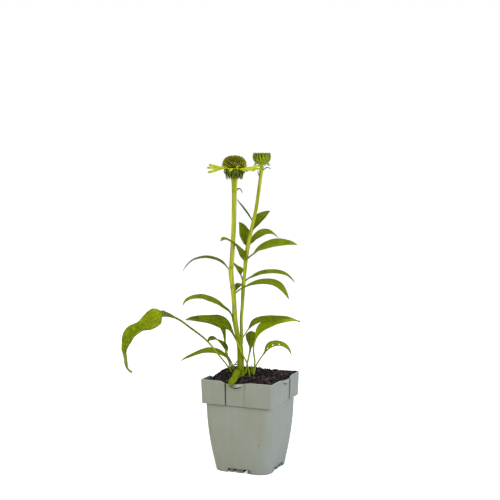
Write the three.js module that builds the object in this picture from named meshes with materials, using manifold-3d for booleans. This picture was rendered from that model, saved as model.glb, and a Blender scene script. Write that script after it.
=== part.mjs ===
// A young purple coneflower (Echinacea) in the square nursery pot that it was raised in.
//
// Millimetres, +Z up. The origin is the middle of the pot's underside, where it stands on the bench.
// The pot's four walls face along X and Y. Headings are degrees round +Z, counter-clockwise from +X.

import * as THREE from "three";
import { mergeVertices } from "three/addons/utils/BufferGeometryUtils.js";
import Module from "manifold-3d";

const wasm = await Module();
wasm.setup();

// ---- Driving dimensions ----

const GAP = 0.3; // kept between neighbouring pieces

const POT_HEIGHT = 110;
const RIM_HALF = 45.4; // half the pot's width at the rim
const COLLAR_HEIGHT = 28.4;
const COLLAR_FOOT_HALF = 44.5;
const COLLAR_CORNER = 3.2;
const WALL = 1.3;
const COLLAR_WALL = 1.8;
const FLOOR_UNDERSIDE = 4.6; // the floor is raised on the foot ring
const FLOOR_TOP = 6;
const FOOT_WALL = 2.2;

// The bowed wall below the collar: height, half width, corner radius.
const WALL_LEVELS = [
  [0, 34.7, 15.5],
  [10, 36.2, 14.4],
  [24, 38.2, 13],
  [40, 40, 11.6],
  [60, 41.4, 9.8],
  [POT_HEIGHT - COLLAR_HEIGHT, 41.8, 8],
];

// The collar's middle on each side, measured along the side towards the front or back corner.
const POCKET = { from: -13, to: 9.5, ramp: 14.4, depth: 1 };
const GROOVE = { from: -14.3, to: -12.9, depth: 1.5 };
const LIP = { from: -11.8, to: 9, top: 107, end: 0.25, drop: 3.2, root: 0.8, stand: 1.4 };
const RIM_DIP = [
  [-20, 110],
  [-14, 107.2],
  [-1, 107.4],
  [9, 108.6],
  [14, 109.5],
  [20, 110],
];

const FOOT_NOTCH = { half: 15, height: 4.4 };
const COMB_RIBS = [-12, -6, 0, 11]; // under the floor, behind each notch
const COMB_RIB = { width: 1.8, length: 13, clearance: 0.6 };
const HUB_RADIUS = 9; // the boss in the middle of the underside
const DRAIN_RADIUS = 4;
const DRAIN_OFFSET = 17;

const STALK_DEPTH = 8; // how deep stems and leaf stalks stand in the soil

// The soil's top: its level, its rise to the back, how far two corners sink, and its heap.
const SOIL = { level: 108, backRise: 1.5, backBow: 0.5, cornerSink: 5.5, clods: [0.5, 0.3] };
const HEAP = { x: -17, y: 20, height: 3.6, spread: 20 };

// The main stem's axis: x, y, z and radius.
const MAIN_STEM = [
  [-10.9, -4.5, 100, 3.6],
  [-10.9, -4.5, 109, 4],
  [-11.3, -4.7, 118, 3.7],
  [-11.3, -4.7, 131, 3.5],
  [-12, -5, 145, 3.3],
  [-14.6, -6, 158, 2.9],
  [-17.2, -7.1, 176, 3.2],
  [-18.1, -7.5, 194, 2.8],
  [-18.9, -7.8, 207, 3.1],
  [-20.6, -8.5, 220, 2.7],
  [-22.7, -9.4, 234, 3.2],
  [-20.9, -8.6, 243, 2.7],
  [-20, -8.3, 258, 2.7],
  [-18.5, -7.7, 289, 2.7],
  [-17.9, -7.4, 325, 2.4],
  [-17.8, -7.3, 337, 2.5],
  [-17.8, -7.3, 343.6, 3.6],
];

// The side stem, which leaves the main stem low down and carries the bud.
const SIDE_STEM = [
  [-11.6, -4.6, 136, 2],
  [-11.4, -0.9, 155, 2.1],
  [-12.4, 0.3, 175, 2],
  [-11.2, 0.8, 193, 2],
  [-9.8, 1.4, 220, 2.5],
  [-8.6, 1.9, 231, 2],
  [-7.5, 2.3, 246, 2.6],
  [-5, 3.4, 264, 2.6],
  [-2, 4.5, 279, 2.1],
  [0.8, 5.8, 293, 2.1],
  [3.4, 6.8, 305, 1.9],
  [8.2, 8.8, 341, 1.7],
  [10, 9.6, 358.4, 1.9],
];

// Every leaf: what it grows from, its heading, its midrib as [out, up, to the left], its greatest
// width, the share of its length that is bare stalk, the fold along the midrib and the roll about
// it in degrees, and the height and number of the waves in its edges.
const STEM_LEAVES = [
  {
    name: "leaf_bract_main", stem: MAIN_STEM, z: 328, heading: 52,
    rib: [[0, -1], [3, 2], [6, 4], [9, 2], [11, -2]],
    width: 2.6, stalk: 0.1, fold: 15, roll: 0, wave: 0.1, waves: 1, across: 3, steps: 8,
  },
  {
    name: "leaf_main_1", stem: MAIN_STEM, z: 234, heading: 200,
    rib: [[0, -1], [6, 7], [14, 13], [28, 15.5], [44, 13.5], [53, 6.5], [57, 0]],
    width: 9, stalk: 0.12, fold: 18, roll: -4, wave: 0.8, waves: 3,
  },
  {
    name: "leaf_main_2", stem: MAIN_STEM, z: 207, heading: 2,
    rib: [[0, 0], [5, 4], [10, 7.5], [21, 12], [38, 14.5], [52, 12.5], [60, 8], [69, -3]],
    width: 12, stalk: 0.14, fold: 20, roll: 16, wave: 1, waves: 3,
  },
  {
    name: "leaf_main_3", stem: MAIN_STEM, z: 206, heading: 94,
    rib: [[0, 0], [5, 5], [14, 8.5], [27, 10], [39, 7]],
    width: 10, stalk: 0.12, fold: 16, roll: 0, wave: 0.8, waves: 2, across: 3,
  },
  {
    name: "leaf_main_4", stem: MAIN_STEM, z: 175, heading: 215,
    rib: [[0, -1], [3, 6], [7, 12], [14, 16.5], [21, 21], [32, 25.5], [41, 28.5], [53, 28], [60, 25], [64, 20]],
    width: 12.5, stalk: 0.12, fold: 16, roll: -22, wave: 1, waves: 4,
  },
  {
    name: "leaf_side_1", stem: SIDE_STEM, z: 293, heading: 172,
    rib: [[0, -1], [5, 6], [14, 16], [23, 26]],
    width: 4, stalk: 0.1, fold: 14, roll: 0, wave: 0.3, waves: 2, across: 3, steps: 8,
  },
  {
    name: "leaf_side_2", stem: SIDE_STEM, z: 279, heading: 57,
    rib: [[0, 0], [3, 4], [8, 9.5], [15, 16.5], [22, 22], [28, 25.5]],
    width: 10, stalk: 0.14, fold: 14, roll: 18, wave: 0.7, waves: 2,
  },
  {
    name: "leaf_side_3", stem: SIDE_STEM, z: 262, heading: 142,
    rib: [[0, -1], [3, 3], [8, 11], [13, 19], [21, 29]],
    width: 13, stalk: 0.12, fold: 14, roll: 0, wave: 0.8, waves: 2,
  },
  {
    name: "leaf_side_4", stem: SIDE_STEM, z: 264, heading: 52,
    rib: [[0, 0], [4, 3], [9, 8], [20, 13], [31, 12], [42, 7]],
    width: 10, stalk: 0.14, fold: 16, roll: 34, wave: 0.8, waves: 2,
  },
  {
    name: "leaf_side_5", stem: SIDE_STEM, z: 248, heading: 357,
    rib: [[0, -1], [3, 2], [9, 7], [17, 13], [30, 18], [42, 20], [54, 20], [66, 18]],
    width: 12, stalk: 0.14, fold: 16, roll: 38, wave: 1, waves: 3,
  },
  {
    name: "leaf_side_6", stem: SIDE_STEM, z: 245, heading: 250,
    rib: [[0, 0], [4, 6], [9, 13], [16, 20], [28, 27], [36, 29], [43, 27]],
    width: 9, stalk: 0.14, fold: 14, roll: -35, wave: 0.7, waves: 2, across: 3,
  },
  {
    name: "leaf_side_7", stem: SIDE_STEM, z: 221, heading: 152,
    rib: [[0, 0], [4, 3], [8, 8], [12, 13], [20, 20]],
    width: 8, stalk: 0.14, fold: 16, roll: -10, wave: 0.6, waves: 2, across: 3,
  },
  {
    name: "leaf_side_8", stem: SIDE_STEM, z: 220, heading: 32,
    rib: [[0, 0], [5, 5], [13, 8], [23, 10], [35, 10], [50, 7], [58, 2], [62, -2]],
    width: 9, stalk: 0.12, fold: 18, roll: 24, wave: 0.8, waves: 3,
  },
  {
    name: "leaf_side_9", stem: SIDE_STEM, z: 153, heading: 30,
    rib: [[0, 0], [3, 4], [6, 9], [12, 15], [20, 20], [29, 22.5], [41, 23.5], [59, 24]],
    width: 11, stalk: 0.2, fold: 16, roll: 28, wave: 0.9, waves: 3,
  },
  {
    name: "leaf_bud_left", stem: SIDE_STEM, z: 345, heading: 202,
    rib: [[0, -1], [2, 4], [3.5, 8]],
    width: 2, stalk: 0.1, fold: 10, roll: 0, wave: 0, waves: 1, across: 3, steps: 6,
  },
  {
    name: "leaf_bud_right", stem: SIDE_STEM, z: 352, heading: 22,
    rib: [[0, -1], [3, 2.5], [7, 4.6], [12, 2.8]],
    width: 2.4, stalk: 0.1, fold: 10, roll: 0, wave: 0, waves: 1, across: 3, steps: 8,
  },
];

// Leaves that rise from the crown: foot is where the stalk leaves the soil.
const CROWN_LEAVES = [
  {
    name: "leaf_crown_1", foot: [-30, 16.5], heading: 172,
    rib: [[6, 9], [9, 14], [11, 24], [12, 33], [13, 43], [15, 53], [17, 61]],
    width: 9, stalk: 0.55, fold: 14, roll: 20, wave: 0.7, waves: 2, across: 3,
  },
  {
    name: "leaf_crown_2", foot: [-31, 10.5], heading: 188,
    rib: [[3, 16], [5, 23], [6, 28], [10, 33], [15, 36.5], [21, 38.5], [26, 37.5], [28, 34]],
    width: 7, stalk: 0.5, fold: 20, roll: 10, wave: 0.9, waves: 2, across: 3,
  },
  {
    name: "leaf_crown_3", foot: [-23.2, 7.6], heading: 198,
    rib: [[3, 8], [6, 13], [11, 18], [19, 22.5], [27, 24], [36, 23], [44, 20.5], [52, 17], [60, 13.5], [67, 10]],
    width: 11, stalk: 0.2, fold: 16, roll: -24, wave: 1, waves: 3,
  },
  {
    name: "leaf_crown_4", foot: [-24.6, 1.8], heading: 209,
    rib: [[6, 9], [17, 23], [31, 40], [51, 56], [63, 65], [74, 70], [84, 71], [93, 66.5], [102, 61.5],
      [110, 57], [122, 49.5], [128, 39], [130, 27], [129.5, 18], [127, 10], [121, 3.5]],
    width: 21, stalk: 0.51, fold: 12, roll: -50, wave: 1.6, waves: 4, steps: 20, outline: [0.38, 1.7],
  },
  {
    name: "leaf_crown_5", foot: [-1.6, 8.5], heading: 38,
    rib: [[3, 12], [1.5, 27], [2, 35], [6, 45.5], [11, 52.5], [18, 58], [27, 61], [38, 62], [50, 62], [61, 60]],
    width: 12.5, stalk: 0.42, fold: 14, roll: 45, wave: 1, waves: 3, steps: 16,
  },
  {
    name: "leaf_crown_6", foot: [-8.6, 5.1], heading: 110,
    rib: [[2, 13, -2], [6, 25, -4.5], [11, 33, -5.6], [19, 41, -5.8], [27, 47, -5]],
    width: 15.5, stalk: 0.5, fold: 10, roll: 0, wave: 0.8, waves: 2,
  },
  {
    name: "leaf_crown_7", foot: [3.5, 4.7], heading: 12,
    rib: [[1, 11], [5, 18], [9, 24], [13.5, 29.5], [19, 34], [26, 36.5], [34, 36], [40, 32], [44, 25]],
    width: 10, stalk: 0.45, fold: 22, roll: 22, wave: 1.2, waves: 3, base: 4,
  },
  {
    name: "leaf_crown_8", foot: [-1.9, 0.3], heading: 228,
    rib: [[2, 9, 1], [4, 16, 2], [8, 23, 2.5], [12, 31, 2.5], [16, 40, 2], [20, 48.5, 1], [25, 56, 0],
      [32, 62, 0], [42, 66, 0], [54, 69, 0], [66, 70.5, 0], [76, 71, 0], [82, 70.5, 0]],
    width: 17, stalk: 0.42, fold: 12, roll: -36, wave: 1.2, waves: 3, steps: 18,
  },
  {
    name: "leaf_crown_9", foot: [-9.8, -10.4], heading: 278,
    rib: [[2, 4], [6, 5.5], [14, 4], [22, 2.5], [30, 1.5], [35.5, 0.5], [39, -2], [40.5, -6]],
    width: 7.5, stalk: 0.08, fold: 8, roll: 0, wave: 0.3, waves: 2, base: 4.5,
  },
];

const BLADE_HALF_THICKNESS = 0.35;
const STALK_HALF = 1.25;
const RIB_DEPTH = 0.6; // how far the midrib stands out below the blade near the stalk

// The open flower, measured up its own axis from the end of the stem.
const FLOWER = {
  turn: 3,
  receptacleHeight: 10.4,
  receptacleRadius: 10.6,
  rays: 18,
  rayRoot: 9.5,
  rayLength: 22,
  rayWidth: 3.5,
  collarInner: 8.6,
  collarOuter: 11.4,
  collarHeight: 1.6,
  coneRadius: 12.8,
  coneRise: 9.6,
  spines: 100,
  spineLength: 4.4,
  spineRadius: 1.05,
  bractRows: [
    { count: 12, height: 9.4, reach: 9.2, rib: [[0, 0], [2.4, 0.4], [3.6, -2.6], [2.6, -6.4]], width: 3 },
    { count: 9, height: 6.6, reach: 7.6, rib: [[0, 0], [2.6, 0.2], [4, -2.4], [3, -7]], width: 2.8 },
  ],
};

// The bud, measured up its own axis from the end of the side stem.
const BUD = {
  discRadius: 7.3,
  discFrom: 9.3,
  discHeight: 2.6,
  florets: 34,
  bractRows: [
    { count: 11, height: 5.4, reach: 8.4, rib: [[0, 0], [1.3, 3], [1.6, 6], [1.3, 9.4]], width: 3.8 },
    { count: 10, height: 3.2, reach: 6.6, rib: [[0, 0], [2.8, 1.8], [4.2, 4.6], [4.7, 9.4]], width: 3.6 },
    { count: 6, height: 2.6, reach: 5, rib: [[0, 0], [2.6, 0.8], [4.4, 0.2], [5.4, -1.4]], width: 2, steps: 3 },
  ],
};

const COLOURS = {
  pot: 0x8f9a8c,
  soil: 0x2b211b,
  stem: 0xa9b53a,
  leaf: 0x5d8016,
  bract: 0x4f7a1d,
  ray: 0xb9c92f,
  cone: 0x6a6a12,
  bud: 0x7fae2c,
};

// ---- Small helpers ----

const UP = new THREE.Vector3(0, 0, 1);
const radians = THREE.MathUtils.degToRad;
const lerp = THREE.MathUtils.lerp;
const smooth = THREE.MathUtils.smoothstep;

/** A seeded stream of numbers from 0 to 1, so that every run grows the same plant. */
function seeded(seed) {
  let state = seed;
  return () => {
    state = (state * 16807) % 2147483647;
    return state / 2147483647;
  };
}

/** A closed geometry as a solid that can be joined and cut. */
function toSolid(geometry) {
  const bare = geometry.index ? geometry.toNonIndexed() : geometry.clone();
  bare.deleteAttribute("normal");
  bare.deleteAttribute("uv");
  const merged = mergeVertices(bare, 1e-3);
  return new wasm.Manifold(
    new wasm.Mesh({
      numProp: 3,
      vertProperties: new Float32Array(merged.attributes.position.array),
      triVerts: new Uint32Array(merged.index.array),
    }),
  );
}

/** A solid back as a geometry. */
function toGeometry(solid) {
  const mesh = solid.getMesh();
  const geometry = new THREE.BufferGeometry();
  geometry.setAttribute("position", new THREE.BufferAttribute(new Float32Array(mesh.vertProperties), 3));
  geometry.setIndex(new THREE.BufferAttribute(new Uint32Array(mesh.triVerts), 1));
  geometry.computeVertexNormals();
  return geometry;
}

const joined = (solids) => solids.reduce((whole, next) => whole.add(next));

function piece(name, solid, colour, roughness) {
  const material = new THREE.MeshStandardMaterial({ color: colour, roughness, metalness: 0 });
  const mesh = new THREE.Mesh(toGeometry(solid), material);
  mesh.name = name;
  return mesh;
}

/**
 * A closed body through rings that turn counter-clockwise about the way they run, with flat ends.
 * The second half of each ring is split the other way, so that on a blade, whose ring runs over
 * the top and back underneath, both faces are split alike.
 */
function loft(rings) {
  const around = rings[0].length;
  const faces = [];
  for (let i = 0; i + 1 < rings.length; i++) {
    for (let j = 0; j < around; j++) {
      const next = (j + 1) % around;
      const [a, b] = [i * around + j, i * around + next];
      const [c, d] = [b + around, a + around];
      if (j < around / 2) faces.push(a, b, c, a, c, d);
      else faces.push(a, b, d, b, c, d);
    }
  }
  const last = (rings.length - 1) * around;
  for (let i = 0; i < around / 2 - 1; i++) {
    const [near, far] = [around - 1 - i, around - 2 - i];
    faces.push(i, far, i + 1, i, near, far);
    faces.push(last + i, last + i + 1, last + far, last + i, last + far, last + near);
  }
  const geometry = new THREE.BufferGeometry().setFromPoints(rings.flat());
  geometry.setIndex(faces);
  return toSolid(geometry);
}

// ---- The pot ----

/** A level square ring with rounded corners, counter-clockwise from above. */
function squareRing(half, corner, z, cornerSteps = 3, sideSteps = 1) {
  const points = [];
  const straight = half - corner;
  for (let quarter = 0; quarter < 4; quarter++) {
    const turned = (x, y) => {
      const [c, s] = [[1, 0], [0, 1], [-1, 0], [0, -1]][quarter];
      return new THREE.Vector3(c * x - s * y, s * x + c * y, z);
    };
    for (let step = 0; step <= cornerSteps; step++) {
      const angle = ((step / cornerSteps) * Math.PI) / 2;
      points.push(turned(straight + corner * Math.cos(angle), straight + corner * Math.sin(angle)));
    }
    for (let step = 1; step < sideSteps; step++) {
      points.push(turned(straight * (1 - (2 * step) / sideSteps), half));
    }
  }
  return points;
}

/** The pot's four sides: the way out of each, and the way along it to the front or back corner. */
const SIDES = [
  { out: [0, -1], along: [1, 0] },
  { out: [1, 0], along: [0, -1] },
  { out: [0, 1], along: [-1, 0] },
  { out: [-1, 0], along: [0, 1] },
].map(({ out, along }) => ({ out: new THREE.Vector3(...out, 0), along: new THREE.Vector3(...along, 0) }));

/** A prism whose outline lies in two directions, and which runs along a third between two distances. */
function prism(first, second, run, outline, from, to) {
  const shape = new THREE.Shape(outline.map(([a, b]) => new THREE.Vector2(a, b)));
  const geometry = new THREE.ExtrudeGeometry(shape, { depth: to - from, bevelEnabled: false });
  const forward = new THREE.Vector3().crossVectors(first, second);
  const start = forward.dot(run) > 0 ? from : -to;
  const place = new THREE.Matrix4().makeBasis(first, second, forward);
  place.setPosition(forward.multiplyScalar(start));
  return toSolid(geometry.applyMatrix4(place));
}

const COLLAR_FOOT = POT_HEIGHT - COLLAR_HEIGHT;

/** Half the collar's outside width at a height. */
const collarHalfAt = (z) => lerp(COLLAR_FOOT_HALF, RIM_HALF, (z - COLLAR_FOOT) / COLLAR_HEIGHT);

/** The pot's outer form, filled. */
function potOutside() {
  const wall = WALL_LEVELS.map(([z, half, corner]) => squareRing(half, corner, z));
  const collar = [
    squareRing(COLLAR_FOOT_HALF, COLLAR_CORNER, COLLAR_FOOT),
    squareRing(RIM_HALF, COLLAR_CORNER, POT_HEIGHT - 1.2),
    squareRing(RIM_HALF - 0.3, COLLAR_CORNER, POT_HEIGHT),
  ];
  return loft([...wall, ...collar]);
}

/** The levels of the inside wall: height, half width, corner radius. */
const INSIDE_LEVELS = [
  [FLOOR_TOP, 35.6 - WALL, 13.5],
  ...WALL_LEVELS.slice(2).map(([z, half, corner]) => [z, half - WALL, corner - WALL]),
  [COLLAR_FOOT + 2.5, COLLAR_FOOT_HALF - COLLAR_WALL, COLLAR_CORNER],
  [POT_HEIGHT, RIM_HALF - COLLAR_WALL, COLLAR_CORNER - 0.8],
];

function potInside() {
  const rings = INSIDE_LEVELS.map(([z, half, corner]) => squareRing(half, corner, z));
  const [, topHalf, topCorner] = INSIDE_LEVELS.at(-1);
  rings.push(squareRing(topHalf, topCorner, POT_HEIGHT + 1));
  return loft(rings);
}

/** The hollow under the floor, inside the foot ring. */
function underside() {
  const [, half, corner] = WALL_LEVELS[0];
  return loft([
    squareRing(half - FOOT_WALL - 0.2, corner - FOOT_WALL, -1),
    squareRing(half - FOOT_WALL + 0.4, corner - FOOT_WALL, FLOOR_UNDERSIDE),
  ]);
}

function uprightCylinder(radius, x, y, from, to, sides = 16) {
  const geometry = new THREE.CylinderGeometry(radius, radius, to - from, sides);
  geometry.rotateX(Math.PI / 2);
  geometry.translate(x, y, (from + to) / 2);
  return toSolid(geometry);
}

/** What is taken out of one side of the collar and its foot. */
function sideCuts(side) {
  const { out, along } = side;
  const past = 4;
  const footFace = collarHalfAt(COLLAR_FOOT - 1);
  const rimFace = collarHalfAt(POT_HEIGHT + 1);
  const skin = (depth) => [
    [footFace - depth, COLLAR_FOOT - 1],
    [footFace + past, COLLAR_FOOT - 1],
    [rimFace + past, POT_HEIGHT + 1],
    [rimFace - depth, POT_HEIGHT + 1],
  ];
  const pocket = prism(out, UP, along, skin(POCKET.depth), POCKET.from, POCKET.to);
  const groove = prism(out, UP, along, skin(GROOVE.depth), GROOVE.from, GROOVE.to);
  const pocketFace = collarHalfAt(POT_HEIGHT - COLLAR_HEIGHT / 2) - POCKET.depth;
  const rampPlan = [
    [POCKET.to - 0.01, RIM_HALF + past],
    [POCKET.to - 0.01, pocketFace],
    [POCKET.ramp, RIM_HALF + 0.1],
    [POCKET.ramp, RIM_HALF + past],
  ];
  const ramp = prism(along, out, UP, rampPlan, COLLAR_FOOT - 1, POT_HEIGHT + 1);
  const dip = [...RIM_DIP, [20, POT_HEIGHT + 2], [-20, POT_HEIGHT + 2]];
  const rimDip = prism(along, UP, out, dip, RIM_HALF - past, RIM_HALF + past);
  const { half, height } = FOOT_NOTCH;
  const arch = [
    [-half, -1],
    [half, -1],
    [half, height - 1.5],
    [half - 1.5, height],
    [1.5 - half, height],
    [-half, height - 1.5],
  ];
  const notch = prism(along, UP, out, arch, WALL_LEVELS[0][1] - past, WALL_LEVELS[0][1] + past);
  return [pocket, groove, ramp, rimDip, notch];
}

/** The crescent lip at the top of a side's pocket, standing proud at its lower edge. */
function lip(side) {
  const steps = 8;
  const { top } = LIP;
  const face = collarHalfAt(top) - POCKET.depth;
  const points = [];
  for (let i = 0; i <= steps; i++) {
    const along = lerp(LIP.from, LIP.to, i / steps);
    const bow = Math.sin((i / steps) * Math.PI);
    const height = LIP.end + LIP.drop * bow;
    const at = (out, z) => side.out.clone().multiplyScalar(out).addScaledVector(side.along, along).setZ(z);
    points.push([
      at(face - LIP.root, top),
      at(face + LIP.end / 2, top),
      at(face + LIP.end + LIP.stand * bow, top - height),
      at(face - LIP.root, top - height - LIP.root / 2),
    ]);
  }
  const mirrored = new THREE.Vector3().crossVectors(side.out, UP).dot(side.along) > 0;
  const rings = mirrored ? points : points.map((ring) => ring.reverse());
  return loft(rings);
}

/** The comb of short ribs under the floor behind a side's notch. */
function combRibs(side) {
  const inner = WALL_LEVELS[0][1] - FOOT_WALL - COMB_RIB.length;
  return COMB_RIBS.map((at) => {
    const outline = [
      [inner, COMB_RIB.clearance],
      [inner + COMB_RIB.length - 1, COMB_RIB.clearance],
      [inner + COMB_RIB.length - 1, FLOOR_UNDERSIDE + 0.5],
      [inner, FLOOR_UNDERSIDE + 0.5],
    ];
    return prism(side.out, UP, side.along, outline, at - COMB_RIB.width / 2, at + COMB_RIB.width / 2);
  });
}

function buildPot() {
  let pot = potOutside().subtract(potInside()).subtract(underside());
  pot = pot.add(uprightCylinder(HUB_RADIUS, 0, 0, 0, FLOOR_TOP - 0.2, 24));
  for (const side of SIDES) {
    pot = pot.add(joined(combRibs(side)));
    pot = pot.subtract(joined(sideCuts(side)));
    pot = pot.add(lip(side));
  }
  for (const x of [-DRAIN_OFFSET, DRAIN_OFFSET]) {
    for (const y of [-DRAIN_OFFSET, DRAIN_OFFSET]) {
      pot = pot.subtract(uprightCylinder(DRAIN_RADIUS, x, y, FLOOR_UNDERSIDE - 1, FLOOR_TOP + 1, 12));
    }
  }
  return pot;
}

// ---- Stems ----

/** A stem through its axis points, each with its own radius, swollen where leaves join. */
function stemSolid(axis, extra = 0) {
  const steps = Math.round(1.5 * axis.length);
  const sides = 7;
  const centres = new THREE.CatmullRomCurve3(axis.map(([x, y, z]) => new THREE.Vector3(x, y, z)));
  const rings = [];
  for (let i = 0; i <= steps; i++) {
    const t = i / steps;
    const along = centres.getTangent(t);
    const centre = centres.getPoint(t).addScaledVector(along, i === 0 ? -extra : 0);
    const left = new THREE.Vector3(0, 1, 0).addScaledVector(along, -along.y).normalize();
    const front = new THREE.Vector3().crossVectors(left, along);
    const radius = radiusAt(axis, t) + extra;
    const ring = [];
    for (let j = 0; j < sides; j++) {
      const angle = (2 * Math.PI * j) / sides;
      ring.push(
        centre.clone().addScaledVector(front, radius * Math.cos(angle)).addScaledVector(left, radius * Math.sin(angle)),
      );
    }
    rings.push(ring);
  }
  return loft(rings);
}

/** A stem's radius at a share of its length, straight between the listed points. */
function radiusAt(axis, t) {
  const place = Math.min(t * (axis.length - 1), axis.length - 1.0001);
  const index = Math.floor(place);
  return lerp(axis[index][3], axis[index + 1][3], place - index);
}

/** The point of a stem's axis at a height. */
function axisAt(axis, z) {
  const index = axis.findIndex((point) => point[2] > z);
  const [low, high] = [axis[index - 1], axis[index]];
  const share = (z - low[2]) / (high[2] - low[2]);
  return new THREE.Vector3(lerp(low[0], high[0], share), lerp(low[1], high[1], share), z);
}

/** Both stems as the one piece that they grew as. */
const stems = (extra = 0) => stemSolid(MAIN_STEM, extra).add(stemSolid(SIDE_STEM, extra));

// ---- Leaves, petals and bracts ----

/** A leaf's half width along its length, from its sheathing base through its stalk to its tip. */
function halfWidthAt(leaf, t) {
  const base = (leaf.base ?? 3) / 2;
  const stalk = Math.min(STALK_HALF, leaf.width / 2);
  const bare = lerp(base, stalk, smooth(t, 0, 0.12));
  if (t <= leaf.stalk) return bare;
  const x = (t - leaf.stalk) / (1 - leaf.stalk);
  const [rise, fall] = leaf.outline ?? [0.75, 0.85];
  const peak = rise / (rise + fall);
  const shape = (x ** rise * (1 - x) ** fall) / (peak ** rise * (1 - peak) ** fall);
  const blade = (leaf.width / 2) * shape;
  return Math.max(blade, lerp(bare, 0.45, smooth(x, 0, 1)));
}

/**
 * A blade and its stalk in one closed loft. Across, it has points from the left edge over the
 * midrib to the right edge, on the upper face and again on the lower one.
 */
function bladeSolid(leaf, foot, extra = 0) {
  const heading = radians(leaf.heading);
  const out = new THREE.Vector3(Math.cos(heading), Math.sin(heading), 0);
  const left = new THREE.Vector3(-out.y, out.x, 0);
  const ribPoints = leaf.rib.map(([away, up, aside = 0]) =>
    foot.clone().addScaledVector(out, away).addScaledVector(left, aside).addScaledVector(UP, up),
  );
  const rib = new THREE.CatmullRomCurve3(ribPoints, false, "centripetal");
  const steps = leaf.steps ?? 11;
  const across = leaf.across ?? 5;
  const rings = [];
  for (let i = 0; i <= steps; i++) {
    rings.push(bladeRing(leaf, rib, i / steps, across, left, extra));
  }
  return loft(rings);
}

function bladeRing(leaf, rib, t, across, left, extra) {
  const along = rib.getTangentAt(t);
  const centre = rib.getPointAt(t).addScaledVector(along, t === 0 ? -extra : 0);
  const flat = left.clone().addScaledVector(along, -left.dot(along)).normalize();
  const roll = radians(leaf.roll ?? 0) * smooth(t, 0, 0.5);
  const side = flat.clone().applyAxisAngle(along, roll);
  const normal = new THREE.Vector3().crossVectors(along, side);
  const half = halfWidthAt(leaf, t);
  const x = Math.max(0, (t - leaf.stalk) / (1 - leaf.stalk));
  const flatness = leaf.stalk ? smooth(x, 0, 0.18) : 1;
  const fold = radians(leaf.fold ?? 0);
  const notch = t === 1 ? (leaf.notch ?? 0) : 0;
  const upper = [];
  const lower = [];
  for (let k = 0; k < across; k++) {
    const u = 1 - (2 * k) / (across - 1);
    const size = Math.abs(u);
    const phase = 2 * Math.PI * (leaf.waves ?? 1) * x + (u > 0 ? 0 : 2);
    const ripple = (leaf.wave ?? 0) * Math.sin(phase) * size ** 2 * Math.min(1, 4 * x * (1 - x) + 0.1);
    const lift = size * half * Math.sin(fold) * flatness + (x > 0 ? ripple : 0);
    const round = Math.sqrt(1 - size ** 2);
    const midrib = (leaf.ribDepth ?? RIB_DEPTH) * (1 - x) * (size < 0.1 ? 1 : 0);
    const above = lerp(0.35 + 0.35 * round, BLADE_HALF_THICKNESS, flatness) + extra;
    const below = lerp(0.4 + 0.9 * round, BLADE_HALF_THICKNESS + midrib, flatness) + extra;
    const lateral = u * (half * Math.cos(fold * flatness) + extra);
    const spot = centre.clone().addScaledVector(side, lateral).addScaledVector(along, -notch * (1 - size));
    upper.push(spot.clone().addScaledVector(normal, lift + above));
    lower.push(spot.clone().addScaledVector(normal, lift - below));
  }
  return [...upper, ...lower.reverse()];
}

/** A leaf that grows from a stem, with its base trimmed to sit against it. */
function stemLeaf(leaf, clearance) {
  return bladeSolid(leaf, axisAt(leaf.stem, leaf.z)).subtract(clearance);
}

/** A crown leaf's data with its stalk carried down into the soil. */
function plantedLeaf(leaf) {
  return { ...leaf, rib: [[0, -STALK_DEPTH], [0, 0], ...leaf.rib] };
}

function crownFoot([x, y]) {
  return new THREE.Vector3(x, y, soilHeight(x, y));
}

// ---- Soil ----

/** The soil's height: heaped round the crown and towards the back, sunk in two corners. */
function soilHeight(x, y) {
  const across = (x + y) / (2 * RIM_HALF);
  const back = (y - x) / (2 * RIM_HALF);
  const fromHeap = Math.hypot(x - HEAP.x, y - HEAP.y) / HEAP.spread;
  const heap = HEAP.height * Math.exp(-(fromHeap ** 2) / 2);
  const [coarse, fine] = SOIL.clods;
  const clods = coarse * Math.sin(0.55 * x + 1) * Math.sin(0.6 * y) + fine * Math.sin(1.1 * x - 0.9 * y);
  return SOIL.level + SOIL.backRise * back - SOIL.backBow * back ** 2 - SOIL.cornerSink * across ** 4 + heap + clods;
}

/** The soil fills the pot to just under its rim, and stems and stalks stand in plain holes in it. */
function buildSoil(clearance) {
  const cornerSteps = 3;
  const sideSteps = 4;
  const rings = INSIDE_LEVELS.slice(0, -1).map(([z, half, corner], level) =>
    squareRing(half - GAP, corner, level ? z : z + GAP, cornerSteps, sideSteps),
  );
  const [, topHalf, topCorner] = INSIDE_LEVELS.at(-1);
  const edge = squareRing(topHalf - 2 * GAP, topCorner, 0, cornerSteps, sideSteps);
  for (const share of [1, 0.86, 0.7, 0.55, 0.4, 0.25, 0.1]) {
    rings.push(
      edge.map(({ x, y }) => new THREE.Vector3(x * share, y * share, soilHeight(x * share, y * share))),
    );
  }
  return loft(rings).subtract(clearance);
}

// ---- The open flower ----

const BRACT_SUNK = 1.3; // how deep a bract's foot lies in its core

/** A row of bracts round a head's axis, each sunk into the core that it grows from. */
function bractRow({ count, height, reach, rib, width, steps = 4 }, random, turn = 0) {
  const row = [];
  for (let i = 0; i < count; i++) {
    const heading = (360 / count) * (i + turn) + 8 * (random() - 0.5);
    const stretch = 0.9 + 0.25 * random();
    const bract = {
      heading, width, stalk: 0, fold: 12, across: 3, steps, base: width * 0.8, outline: [0.25, 0.8], ribDepth: 0,
      rib: rib.map(([out, up]) => [out * stretch - BRACT_SUNK, up * stretch]),
    };
    const angle = radians(heading);
    row.push(bladeSolid(bract, new THREE.Vector3(reach * Math.cos(angle), reach * Math.sin(angle), height)));
  }
  return row;
}

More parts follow.
